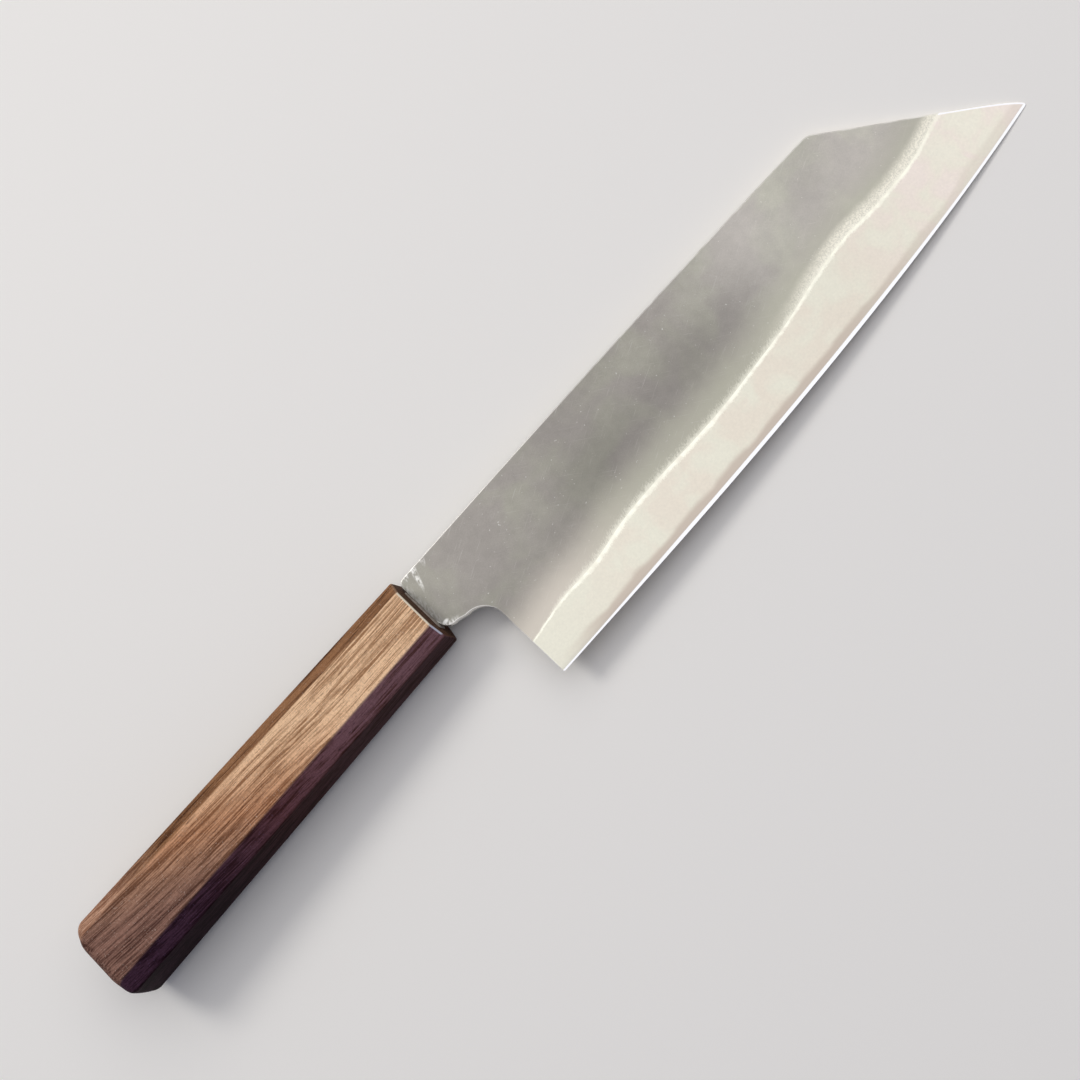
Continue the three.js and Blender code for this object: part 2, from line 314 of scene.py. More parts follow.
@dataclass
class Surface:
    """Closed skin: rings of points carried along a path, with values kept at each point.

    Args:
        rings: Points in the knife's axes, rings by points by 3.
        values: Named values at each point, rings by points.
    """

    rings: Array
    values: dict[str, Array] = field(default_factory=dict)

    def make(self, name: str, rest: RestFrame, sharp_angle: float) -> Object:
        """Make the piece: walls between neighbouring rings and a fan at each end.

        Args:
            name: Name of the piece.
            rest: Frame that the points are laid down in.
            sharp_angle: Angle in degrees above which an edge stays crisp.

        Returns:
            The object, at the origin, with its place in its mesh.
        """
        count, around = self.rings.shape[:2]
        ends = np.stack([self.rings[0].mean(axis=0), self.rings[-1].mean(axis=0)])
        points = rest.lay(np.concatenate([self.rings.reshape(-1, 3), ends]))
        row = np.arange(count - 1)[:, None] * around
        here = np.arange(around)[None, :]
        after = (here + 1) % around
        walls = np.stack([row + here, row + after, row + around + after, row + around + here], axis=-1)
        last = (count - 1) * around
        first_fan = np.stack([after[0], here[0], np.full(around, count * around)], axis=-1)
        last_pole = np.full(around, count * around + 1)
        last_fan = np.stack([last + here[0], last + after[0], last_pole], axis=-1)
        faces = walls.reshape(-1, 4).tolist() + first_fan.tolist() + last_fan.tolist()
        mesh = bpy.data.meshes.new(name)
        mesh.from_pydata(points.tolist(), [], faces)
        for label, value in self.values.items():
            flat = np.concatenate([value.ravel(), [value[0].mean(), value[-1].mean()]])
            layer = mesh.attributes.new(label, "FLOAT", "POINT")
            layer.data.foreach_set("value", flat.astype(np.float32))
        self.close(mesh)
        mesh.shade_smooth()
        mesh.set_sharp_from_angle(angle=math.radians(sharp_angle))
        return put(name, mesh)

    @staticmethod
    def close(mesh: bpy.types.Mesh) -> None:
        """Merge the points that meet at poles and feather edges, and turn the faces outwards."""
        touching = 2e-4 / MM
        work = bmesh.new()
        work.from_mesh(mesh)
        bmesh.ops.remove_doubles(work, verts=work.verts, dist=touching)
        bmesh.ops.dissolve_degenerate(work, edges=work.edges, dist=touching / 2)
        loose = [vert for vert in work.verts if not vert.link_faces]
        bmesh.ops.delete(work, geom=loose, context="VERTS")
        bmesh.ops.recalc_face_normals(work, faces=work.faces)
        work.to_mesh(mesh)
        work.free()
        mesh.update()


@dataclass(frozen=True)
class Columns:
    """Columns across the blade: lower and upper ends by x and y, and the rounding of the arris at each."""

    low: Array
    high: Array
    low_ease: Array
    high_ease: Array

    def joined(self, other: "Columns") -> "Columns":
        """These columns, with others after them."""
        return Columns(
            np.concatenate([self.low, other.low]),
            np.concatenate([self.high, other.high]),
            np.concatenate([self.low_ease, other.low_ease]),
            np.concatenate([self.high_ease, other.high_ease]),
        )

    def up(self) -> Array:
        """Direction of each column, from its lower to its upper end."""
        span = self.high - self.low
        return span / np.maximum(np.linalg.norm(span, axis=1, keepdims=True), TINY)

    def flat_ends(self) -> tuple[Array, Array]:
        """Lower and upper ends of each column's flat, inside the rounding of its arrises."""
        up = self.up()
        return self.low + up * self.low_ease[:, None], self.high - up * self.high_ease[:, None]

    def arcs(self, turn: Array) -> tuple[Array, Array]:
        """Plan of the arrises: an arris of radius r lies r (1 - sin a) in from the outline at a turn of a.

        Args:
            turn: Turns from the face outwards, in radians.

        Returns:
            Points of the lower and of the upper arris, columns by turns by 2.
        """
        up = self.up()[:, None, :]
        inwards = 1 - np.sin(turn)
        low = self.low[:, None, :] + up * (self.low_ease[:, None] * inwards)[..., None]
        high = self.high[:, None, :] - up * (self.high_ease[:, None] * inwards)[..., None]
        return low, high


@dataclass(frozen=True)
class BladeForm:
    """Outline, grind and layers of the blade, in millimetres."""

    edge_length: float = 170.3
    height: float = 45.25
    spine_y: float = 9.2
    spine_drop: float = 2.45
    spine_crown: float = 0.55
    clip_length: float = 38.0
    clip_straight: float = 0.4
    clip_bulge: float = 2.2
    clip_bulge_at: float = 0.95
    clip_ease: float = 1.6
    edge_flat: float = 27.0
    sweep_at: float = 0.62
    tip_rise: float = 8.05
    tip_ease: float = 0.8
    heel_ease: float = 0.5
    neck_length: float = 13.1
    neck_height: float = 17.25
    neck_flare: float = 0.8
    choil_radius: float = 6.5
    shoulder_x: float = 0.55
    shoulder_ease_spine: float = 1.9
    shoulder_ease_edge: float = 3.9
    spine_thickness: float = 3.2
    core_thickness: float = 0.8
    line_at_heel: float = 10.85
    line_rise: float = 10.9
    line_pitch: float = 12.0
    line_offsets: tuple[float, ...] = (
        *(-0.23, 0.51, -0.13, 0.71, 0.33, -0.72, -1.41),
        *(-1.32, -0.98, 0.3, 0.8, -0.51, -0.55, 1.4),
    )
    bevel_width: float = 0.9
    bevel_thickness: float = 0.26
    edge_overrun: float = 0.15
    weld_gap: float = 0.01
    tang_length: float = 88.0
    tang_height: float = 10.0
    tang_end_height: float = 6.0
    tang_relief: float = 0.15
    tang_end_thinning: float = 0.2
    arris: float = 0.2
    heel_arris: float = 0.12
    clip_arris: float = 0.3
    clip_arris_run: float = 2.0
    tang_arris: float = 0.15
    hidden_arris: float = 0.05
    edge_half: float = 0.004
    # An arris takes no more than these shares of a short column and of a thin one.
    column_share: float = 0.3
    thickness_share: float = 0.7
    # Columns fan out from the back of the heel. On the spine they start and end this far past the heel.
    fan_start: float = 1.0
    clad_fan_end: float = 7.0
    core_fan_end: float = 8.0
    heel_ease_end: float = 8.6
    # Numbers of points on the stretches of the outline.
    columns: int = 520
    spine_points: int = 200
    corner_points: int = 24
    edge_points: int = 600
    shoulder_points: int = 14
    neck_points: int = 12
    choil_points: int = 26
    clad_heel_points: int = 16
    core_heel_points: int = 34
    heel_ease_points: int = 8
    nose_points: int = 17
    fade_points: int = 6
    tang_points: int = 14

    @property
    def edge_y(self) -> float:
        """Height of the flat of the edge."""
        return self.spine_y - self.height

    @property
    def tip_x(self) -> float:
        """Where the tip lies along the knife."""
        return self.neck_length + self.edge_length

    @property
    def tip(self) -> Array:
        """Point of the tip, before it is eased."""
        return np.array([self.tip_x, self.edge_y + self.tip_rise])

    @property
    def corner(self) -> Array:
        """Point where spine and clip meet, before it is eased."""
        return np.array([self.tip_x - self.clip_length, self.spine_y - self.spine_drop])

    @property
    def neck_y(self) -> float:
        """Underside of the neck at the handle."""
        return self.spine_y - self.neck_height

    @property
    def core_half(self) -> float:
        """Half of the core's thickness, where the layers are even."""
        return self.core_thickness / 2

    def straight_line(self, x: Array) -> Array:
        """Height of the even layer line, which rises steadily from heel to tip."""
        share = (x - self.neck_length) / self.edge_length
        return self.edge_y + self.line_at_heel + self.line_rise * share

    @property
    def face_slope(self) -> float:
        """Thickness that one face gains per millimetre of height."""
        rise = self.spine_y - float(self.straight_line(np.array(0.0)))
        return (self.spine_thickness / 2 - self.core_half) / rise

    def line_wave(self, x: Array) -> Array:
        """Wander of the layer line, from hammering the layers by hand.

        A smooth curve through offsets at an even pitch from the heel. Between two of them, with share t,
        it is the cubic (2 b + (c - a) t + (2 a - 5 b + 4 c - d) t^2 + (3 b - a - 3 c + d) t^3) / 2, where
        b and c are the offsets on both sides and a and d the next ones out.

        Args:
            x: Positions along the knife.

        Returns:
            Offset of the line at each of them.
        """
        knots = np.asarray(self.line_offsets)
        last = len(knots) - 1
        at = np.clip((x - self.neck_length) / self.line_pitch, 0.0, last - TINY)
        index = np.floor(at).astype(int)
        t = at - index
        a, b, c, d = (knots[np.clip(index + k, 0, last)] for k in (-1, 0, 1, 2))
        square = 2 * a - 5 * b + 4 * c - d
        cube = 3 * b - a - 3 * c + d
        return (2 * b + (c - a) * t + square * t**2 + cube * t**3) / 2

    def layer_line(self, x: Array) -> Array:
        """Height of the line where the core comes out of its cladding."""
        return self.straight_line(x) + self.line_wave(x)

    def edge_line(self, x: Array) -> Array:
        """Height of the edge: flat from the heel, then the sweep edge_y + tip_rise t^2.

        The share t of the sweep solves x = x0 + 2 (xc - x0) t + (x0 - 2 xc + x1) t^2.
        """
        x0 = self.neck_length + self.edge_flat
        xc = mixed(x0, self.tip_x, np.array(self.sweep_at))
        square = x0 - 2 * xc + self.tip_x
        linear_part = 2 * (xc - x0)
        rest = x0 - np.clip(x, x0, self.tip_x)
        t = (-linear_part + np.sqrt(linear_part**2 - 4 * square * rest)) / (2 * square)
        return self.edge_y + self.tip_rise * t**2

    def half_thickness(self, x: Array, y: Array) -> Array:
        """Half thickness of the ground blade: a flat face, the core's face below it, then the bevel.

        Args:
            x: Positions along the knife.
            y: Heights.

        Returns:
            Distance of the ground surface from the middle plane.
        """
        line = self.layer_line(x)
        core = self.core_half + self.face_slope * self.line_wave(x)
        edge = self.edge_line(x)
        bevel_half = self.bevel_thickness / 2
        face = core + self.face_slope * (y - line)
        share = (y - edge - self.bevel_width) / (line - edge - self.bevel_width)
        ruled = mixed(bevel_half, core, share)
        bevel = bevel_half * (y - edge + self.edge_overrun) / (self.bevel_width + self.edge_overrun)
        below = np.where(y >= edge + self.bevel_width, ruled, np.maximum(bevel, 0.0))
        return np.where(y >= line, face, below)

    def upper_outline(self) -> Array:
        """Spine, eased corner and clip, from the shoulder to the tip."""
        run = (self.tip - self.corner) / np.linalg.norm(self.tip - self.corner)
        clip_bend = mixed(self.corner, self.tip, np.array(self.clip_bulge_at))
        clip_bend = clip_bend + self.clip_bulge * np.array([-run[1], run[0]])
        clip_run = mixed(self.corner, self.tip, np.array(self.clip_straight))
        clip_start = self.corner + self.clip_ease * run
        start = np.array([self.shoulder_x + self.shoulder_ease_spine, self.spine_y])
        spine_pull = (np.array([self.shoulder_x, self.spine_y]) + self.corner) / 2
        spine_pull = spine_pull + np.array([0.0, 2 * self.spine_crown])
        back = (spine_pull - self.corner) / np.linalg.norm(spine_pull - self.corner)
        spine_end = self.corner + self.clip_ease * back
        return np.concatenate(
            [
                curve(start, spine_pull, spine_end, self.spine_points)[:-1],
                curve(spine_end, self.corner, clip_start, self.corner_points)[:-1],
                curve_of_four(clip_start, clip_run, clip_bend, self.tip, self.spine_points),
            ]
        )

    def edge_outline(self) -> Array:
        """The edge from the heel to the tip."""
        x = np.linspace(self.neck_length + self.heel_ease, self.tip_x, self.edge_points)
        return np.stack([x, self.edge_line(x)], axis=1)

    def neck_columns(self) -> tuple[Array, Array]:
        """Lower and upper ends of the columns from the shoulder to the top of the heel."""
        upper = self.upper_outline()
        shoulder = self.shoulder_x
        low_ease = self.shoulder_ease_edge
        high_ease = self.shoulder_ease_spine
        choil_x = self.neck_length - self.choil_radius
        choil_y = self.neck_y - self.neck_flare
        turn = np.linspace(math.pi / 2, 0.0, self.choil_points)
        arc = self.choil_radius * np.stack([np.cos(turn), np.sin(turn)], axis=1)
        arc = arc + np.array([choil_x, choil_y - self.choil_radius])
        low_corner = (shoulder, self.neck_y)
        low_start = (shoulder, self.neck_y + low_ease)
        low_end = (shoulder + low_ease, self.neck_y)
        low = [
            curve(low_start, low_corner, low_end, self.shoulder_points),
            straight(low_end, (choil_x, choil_y), self.neck_points)[1:],
            arc[1:],
        ]
        high_corner = (shoulder, self.spine_y)
        high_start = (shoulder, self.spine_y - high_ease)
        high = [
            curve(high_start, high_corner, upper[0], self.shoulder_points),
            stretch(upper, upper[0, 0], choil_x, self.neck_points)[1:],
            stretch(upper, choil_x, self.neck_length + self.fan_start, self.choil_points)[1:],
        ]
        return np.concatenate(low), np.concatenate(high)

    def clip_crossing(self) -> float:
        """Where the layer line runs out at the clip."""
        upper = self.upper_outline()
        gap = upper[:, 1] - self.layer_line(upper[:, 0])
        last = int(np.nonzero(gap > 0)[0][-1])
        share = gap[last] / (gap[last] - gap[last + 1])
        return float(mixed(upper[last, 0], upper[last + 1, 0], share))

    def fading_ease(self, ease: float, outlined: int, count: int) -> Array:
        """Rounding of an arris that fades where the columns leave the outline.

        Args:
            ease: Full rounding.
            outlined: Number of columns on the outline.
            count: Number of all columns.

        Returns:
            Rounding at each column.
        """
        fade = ease * np.linspace(1.0, 0.0, self.fade_points)
        return np.concatenate([np.full(outlined - len(fade), ease), fade, np.zeros(count - outlined)])

    def cladding_columns(self) -> Columns:
        """Columns of the cladding, from the shoulder to where it runs out at the clip."""
        upper = self.upper_outline()
        low, high = self.neck_columns()
        heel_x = self.neck_length
        heel_top = low[-1, 1]
        heel_line = float(self.layer_line(np.array(heel_x)))
        crossing = self.clip_crossing()
        x = np.linspace(heel_x, crossing, self.columns)
        line = np.stack([x, self.layer_line(x)], axis=1)
        back = straight((heel_x, heel_top), (heel_x, heel_line), self.clad_heel_points)
        fan_end = heel_x + self.clad_fan_end
        lower = np.concatenate([low, back[1:], line[1:]])
        higher = np.concatenate(
            [
                high,
                stretch(upper, heel_x + self.fan_start, fan_end, self.clad_heel_points)[1:],
                stretch(upper, fan_end, crossing, self.columns)[1:],
            ]
        )
        low_ease = self.fading_ease(self.arris, len(low) + len(back) - 1, len(lower))
        room = np.linalg.norm(higher - lower, axis=1)
        return Columns(lower, higher, low_ease, np.minimum(self.arris, self.column_share * room))

    def core_columns(self) -> Columns:
        """Columns of the core, from the shoulder to the eased tip."""
        upper = self.upper_outline()
        edge = self.edge_outline()
        low, high = self.neck_columns()
        heel_x = self.neck_length
        heel_top = low[-1, 1]
        ease = self.heel_ease
        edge_end = edge[np.searchsorted(measure(edge), measure(edge)[-1] - self.tip_ease)]
        clip_end = upper[np.searchsorted(measure(upper), measure(upper)[-1] - self.tip_ease)]
        nose = curve(edge_end, self.tip, clip_end, self.nose_points)
        half = self.nose_points // 2
        heel_corner = (heel_x, self.edge_y)
        ease_start = (heel_x, self.edge_y + ease)
        ease_end = (heel_x + ease, self.edge_y)
        back = straight((heel_x, heel_top), ease_start, self.core_heel_points)
        lower = np.concatenate(
            [
                low,
                back[1:],
                curve(ease_start, heel_corner, ease_end, self.heel_ease_points)[1:],
                stretch(edge, heel_x + ease, edge_end[0], self.columns)[1:],
                nose[1 : half + 1],
            ]
        )
        fan_end = heel_x + self.core_fan_end
        edge_start = heel_x + self.heel_ease_end
        higher = np.concatenate(
            [
                high,
                stretch(upper, heel_x + self.fan_start, fan_end, self.core_heel_points)[1:],
                stretch(upper, fan_end, edge_start, self.heel_ease_points)[1:],
                stretch(upper, edge_start, clip_end[0], self.columns)[1:],
                nose[: half - 1 : -1][1:],
            ]
        )
        low_ease = self.fading_ease(self.heel_arris, len(low) + len(back) - 1, len(lower))
        bare = np.clip((higher[:, 0] - self.clip_crossing()) / self.clip_arris_run, 0.0, 1.0)
        room = np.linalg.norm(higher - lower, axis=1)
        thick = self.half_thickness(higher[:, 0], higher[:, 1])
        most = np.minimum(self.column_share * room, self.thickness_share * thick)
        high_ease = np.minimum(mixed(self.hidden_arris, self.clip_arris, bare), most)
        return Columns(lower, higher, low_ease, high_ease)

    def tang_columns(self, arris: float) -> Columns:
        """Columns of the tang from its end to the shoulder, with a given rounding of the arrises."""
        x = np.linspace(-self.tang_length, self.shoulder_x, self.tang_points)
        half = self.tang_half_height(x)
        ease = np.full(len(x), arris)
        return Columns(np.stack([x, -half], axis=1), np.stack([x, half], axis=1), ease, ease)

    def tang_half_height(self, x: Array) -> Array:
        """Half height of the tang, which tapers to its end."""
        share = (self.shoulder_x - x) / (self.shoulder_x + self.tang_length)
        return mixed(self.tang_height, self.tang_end_height, share) / 2

    def tang_half_width(self, x: Array) -> Array:
        """Half thickness of the tang, which thins to its end."""
        share = (self.shoulder_x - x) / (self.shoulder_x + self.tang_length)
        root = self.half_thickness(np.array(self.shoulder_x), np.array(-self.tang_height / 2))
        return root - self.tang_relief - self.tang_end_thinning * share


@dataclass(frozen=True)
class BladeSkin:
    """Skins of the blade's three layers, each a closed ring of points carried from tang to tip."""

    form: BladeForm
    arc_steps: int = 4
    face_rows: int = 22
    back_rows: int = 6
    meet_steps: int = 6
    # How far the rows of a face crowd towards its ends, and the share of a column up to the first of them.
    row_ease: float = 0.6
    rim_share: float = 0.004
    # Rows of the core above the layer line, as shares of the way up.
    clad_rows: tuple[float, ...] = (0.0005, 0.3, 0.7, 1.0)
    # Shares of a column between which the layer line crosses it, and those that the bevel takes of it at
    # least and of its bare length at most.
    line_limits: tuple[float, float] = (0.06, 0.97)
    bevel_limits: tuple[float, float] = (0.01, 0.4)
    # Distance that stands for none.
    far: float = 99.0

    def face_shares(self) -> Array:
        """Shares of a column at which a face has its rows, closer at both ends."""
        middle = np.linspace(0.0, 1.0, self.face_rows)
        eased = mixed(middle, middle**2 * (3 - 2 * middle), np.array(self.row_ease))
        return np.concatenate([[0.0, self.rim_share], eased[1:-1], [1.0 - self.rim_share, 1.0]])

    def arris_turns(self) -> Array:
        """Turns of the rows of an arris, from the face outwards, in radians."""
        return np.linspace(0.0, math.pi / 2, self.arc_steps + 1)[1:]

    def cladding(self, side: Side) -> Surface:
        """Skin of one cladding: face, arris at the spine, welded back, arris at the lower outline.

        The face follows the ground blade, and the back lies a weld's gap off the core, or just under the
        face where the cladding feathers out.

        Args:
            side: Side of the blade.

        Returns:
            The skin, with the distances to the layer line and the outline kept at each point.
        """
        form = self.form
        blade = form.cladding_columns()
        tang = form.tang_columns(form.tang_arris)
        tang_rings = self.clad_rings(tang, form.tang_half_width(tang.low[:, 0]))
        rings = np.concatenate([tang_rings, self.clad_rings(blade)])
        outlined = np.arange(len(rings)) < len(tang_rings) + np.count_nonzero(blade.low_ease > 0)
        values = self.distances(rings, tang.joined(blade), outlined)
        rings[..., 2] *= side.value
        return Surface(rings, values)

    def clad_rings(self, columns: Columns, width: Array | None = None) -> Array:
        """Rings of the cladding over columns of the blade.

        An arris of radius r lies r (1 - cos a) below the face at a turn of a.

        Args:
            columns: Columns, with the rounding of their arrises.
            width: Half thickness of each column, where it isn't that of the ground blade.

        Returns:
            Columns by ring points by 3, for the right side.
        """
        form = self.form
        low_in, high_in = columns.flat_ends()
        face = mixed(low_in[:, None, :], high_in[:, None, :], self.face_shares()[None, :, None])
        turn = self.arris_turns()
        low_arc, high_arc = columns.arcs(turn)
        down = np.linspace(0.0, 1.0, self.back_rows)[None, :, None]
        back = mixed(columns.high[:, None, :], columns.low[:, None, :], down)

        def ground(plan: Array) -> Array:
            """Half thickness over points of the plan."""
            if width is None:
                return form.half_thickness(plan[..., 0], plan[..., 1])
            return np.broadcast_to(width[:, None], plan.shape[:2])

        drop = 1 - np.cos(turn)
        high_z = ground(high_in[:, None, :]) - columns.high_ease[:, None] * drop
        low_z = ground(low_in[:, None, :]) - columns.low_ease[:, None] * drop
        core = form.core_half + form.face_slope * form.line_wave(back[..., 0])
        back_z = np.minimum(core, ground(back) - 2 * form.weld_gap) + form.weld_gap
        plan = np.concatenate([face, high_arc, back, low_arc[:, ::-1]], axis=1)
        z = np.concatenate([ground(face), high_z, back_z, low_z[:, ::-1]], axis=1)
        return np.concatenate([plan, z[..., None]], axis=2)

    def core(self) -> Surface:
        """Skin of the core: right face, spine, left face and edge, with the tang.

        Below the layer line it is the ground blade's own surface. Above it, it lies inside the cladding.
        An arris of radius r lies r (1 - cos a) below the face at a turn of a.

        Returns:
            The skin, with the distances to the edge, the layer line and the outline kept at each point.
        """
        form = self.form
        columns = form.tang_columns(form.hidden_arris).joined(form.core_columns())
        low_in, high_in = columns.flat_ends()
        shares = self.core_shares(low_in, high_in)
        face = mixed(low_in[:, None, :], high_in[:, None, :], shares[..., None])
        turn = self.arris_turns()
        low_arc, high_arc = columns.arcs(turn)
        drop = 1 - np.cos(turn)
        high_z = self.core_height(high_in[:, None, :]) - columns.high_ease[:, None] * drop
        low_z = self.core_height(low_in[:, None, :]) - columns.low_ease[:, None] * drop
        low_z = np.maximum(low_z, form.edge_half)
        plan = np.concatenate([low_arc[:, ::-1], face, high_arc], axis=1)
        z = np.concatenate([low_z[:, ::-1], self.core_height(face), high_z], axis=1)
        right = np.concatenate([plan, z[..., None]], axis=2)
        left = right[:, ::-1] * np.array([1.0, 1.0, -1.0])
        rings = np.concatenate([right, left], axis=1)
        past_heel = form.heel_ease_points + form.columns + form.nose_points // 2
        outlined = np.arange(len(rings)) < len(rings) - past_heel
        values = self.distances(rings, columns, outlined)
        values["above_edge"] = rings[..., 1] - form.edge_line(rings[..., 0])
        return Surface(rings, values)

    def core_height(self, plan: Array) -> Array:
        """Half thickness of the core: ground where it is bare, even where it is clad.

        Args:
            plan: Points of the plan, with x and y last.

        Returns:
            Half thickness at each of them.
        """
        form = self.form
        x, y = plan[..., 0], plan[..., 1]
        ground = form.half_thickness(x, y)
        even = form.core_half + form.face_slope * form.line_wave(x)
        hidden = np.minimum(even, ground - 3 * form.weld_gap)
        bare = y <= form.layer_line(x) + TINY
        return np.where(bare & (x > form.shoulder_x), ground, hidden)

    def core_shares(self, low: Array, high: Array) -> Array:
        """Rows of the core's columns: two on the bevel, most up to the layer line, a few above it.

        The share of a column at the layer line is found by stepping t = (line(x(t)) - y0) / (y1 - y0).

        Args:
            low: Lower ends of the columns.
            high: Upper ends.

        Returns:
            Columns by rows, from 0 to 1.
        """
        form = self.form
        rise = np.maximum(high[:, 1] - low[:, 1], TINY)
        meet = np.zeros(len(low))
        for _ in range(self.meet_steps):
            x = low[:, 0] + np.clip(meet, 0.0, 1.0) * (high[:, 0] - low[:, 0])
            meet = (form.layer_line(x) - low[:, 1]) / rise
        meet = np.clip(meet, *self.line_limits)
        least_bevel, most_bevel = self.bevel_limits
        bevel = np.clip(form.bevel_width / rise, least_bevel, most_bevel * meet)
        lower = mixed(bevel[:, None], meet[:, None], np.linspace(0.0, 1.0, self.face_rows)[None, :])
        above = mixed(meet[:, None], 1.0, np.array(self.clad_rows)[None, :])
        start = np.stack([np.zeros(len(low)), 0.5 * bevel], axis=1)
        return np.concatenate([start, lower, above], axis=1)

    def distances(self, rings: Array, columns: Columns, outlined: Array) -> dict[str, Array]:
        """Distances in millimetres that the finishes follow.

        Args:
            rings: Points of the skin.
            columns: Columns that they lie on.
            outlined: Whether the lower end of a column lies on the outline.

        Returns:
            Height above the layer line, distance to the upper outline, and distance to the lower one.
        """
        plan = rings[..., :2]
        to_low = np.linalg.norm(plan - columns.low[:, None, :], axis=2)
        return {
            "above_line": rings[..., 1] - self.form.layer_line(rings[..., 0]),
            "to_spine": np.linalg.norm(plan - columns.high[:, None, :], axis=2),
            "to_heel": np.where(outlined[:, None], to_low, self.far),
        }


@dataclass(frozen=True)
class HandleForm:
    """Octagonal handle with the tang's slot and the seal bead at its mouth, in millimetres."""

    length: float = 119.3
    front_height: float = 19.3
    front_width: float = 16.4
    butt_height: float = 22.7
    butt_width: float = 20.8
    facet_height: float = 3.95
    facet_width: float = 3.65
    front_chamfer: float = 0.42
    butt_round: float = 4.08
    butt_edge_round: float = 2.64
    butt_dome: float = 1.38
    ridge_radius: float = 0.45
    butt_ridge_radius: float = 4.0
    bedding: float = 1.0
    seal_thickness: float = 0.45
    seal_overlap: float = 0.3
    seat_gap: float = 0.05
    tang: BladeForm = field(default_factory=BladeForm)
    # Profile of the front chamfer with eased sides: depths and insets as shares of its size.
    chamfer_depths: tuple[float, ...] = (0.0, 0.06, 0.25, 0.5, 0.8, 1.15)
    chamfer_insets: tuple[float, ...] = (1.1, 0.85, 0.55, 0.27, 0.07, 0.0)
    # First ring of the body and sections of the slot, behind the front face.
    body_start: float = 1.5
    slot_depths: tuple[float, ...] = (60.0, 30.0, 8.0, 0.8)
    # Profile of the seal bead: heights and reaches as shares of its thickness and of its width.
    seal_heights: tuple[float, ...] = (0.0, 0.28, 0.62, 0.9, 1.0, 0.96, 0.9, 0.86, 0.86, 0.4, 0.0, 0.0)
    seal_reaches: tuple[float, ...] = (1.0, 1.0, 0.92, 0.75, 0.45, 0.2, 0.1, 0.06, 0.0, 0.0, 0.0, 0.5)
    # Its crown sinks by up to this share in waves round the mouth. Roundness 0 is a rectangle, 1 an ellipse.
    seal_swell: float = 0.06
    seal_waves: int = 3
    seal_wave_start: float = 0.7
    seal_roundness: float = 0.22
    # How far the rows of a facet crowd towards its ridges, from 0 to 1.
    facet_ease: float = 0.8
    arc_points: int = 6
    facet_points: int = 10
    body_rings: int = 60
    butt_rings: int = 18
    dome_rings: int = 9
    face_rings: int = 6
    seal_rings: int = 97

    def octagons(self, half_height: Array, half_width: Array, ridge: Array) -> Array:
        """Octagonal rings with rounded ridges.

        A ridge between facets with outward normals n0 and n1 is the arc c + r n, where n turns from n0 to
        n1 and c lies r inside both facets: the corner less r b / (b . n0), with b halfway between them.

        Args:
            half_height: Half height of each ring.
            half_width: Half width of each ring.
            ridge: Radius of its ridges.

        Returns:
            Rings by points by y and z.
        """
        fy, fz = self.facet_height, self.facet_width
        slant = np.array([fz, fy]) / math.hypot(fy, fz)
        flip_y = np.array([-1.0, 1.0])
        flip_z = np.array([1.0, -1.0])
        side = np.array([0.0, 1.0])
        top = np.array([1.0, 0.0])
        normals = [top, slant, side, slant * flip_y, -top, -slant, -side, slant * flip_z]
        h, w = half_height, half_width
        right = [(h, w - fz), (h - fy, w), (fy - h, w), (-h, w - fz)]
        corners = right + [(-y, -z) for y, z in right]
        arcs = []
        for index, corner in enumerate(corners):
            before = normals[index]
            after = normals[(index + 1) % 8]
            half_way = (before + after) / np.linalg.norm(before + after)
            centre = np.stack(corner, axis=1) - half_way * ridge[:, None] / (half_way @ before)
            swing = math.atan2(before[0] * after[1] - before[1] * after[0], before @ after)
            turn = math.atan2(before[1], before[0]) + np.linspace(0.0, swing, self.arc_points)
            arc = np.stack([np.cos(turn), np.sin(turn)], axis=1)
            arcs.append(centre[:, None, :] + ridge[:, None, None] * arc[None, :, :])
        shares = np.linspace(0.0, 1.0, self.facet_points + 2)[1:-1]
        shares = mixed(shares, shares**2 * (3 - 2 * shares), np.array(self.facet_ease))[None, :, None]
        parts = []
        for index, arc in enumerate(arcs):
            following = arcs[(index + 1) % 8]
            facet = mixed(arc[:, -1:, :], following[:, :1, :], shares)
            parts.extend([arc, facet])
        return np.concatenate(parts, axis=1)

    def stations(self) -> tuple[Array, Array, Array]:
        """Places, insets and section places of the rings from the front face to the butt's rim.

        The front edge is a chamfer with eased sides, and the butt turns in as a quarter circle:
        x = rim - r sin a and inset = r (1 - cos a).

        Returns:
            Three arrays of one value per ring.
        """
        front_x = -np.array(self.chamfer_depths) * self.front_chamfer
        front_inset = np.array(self.chamfer_insets) * self.front_chamfer
        rim = -self.length + self.butt_dome + self.butt_round
        body_x = np.linspace(-self.body_start, rim, self.body_rings)
        turn = np.linspace(0.0, math.pi / 2, self.butt_rings + 1)[1:]
        butt_x = rim - self.butt_round * np.sin(turn)
        butt_inset = self.butt_round * (1 - np.cos(turn))
        x = np.concatenate([front_x, body_x, butt_x])
        inset = np.concatenate([front_inset, np.zeros(len(body_x)), butt_inset])
        return x, inset, np.maximum(x, rim)

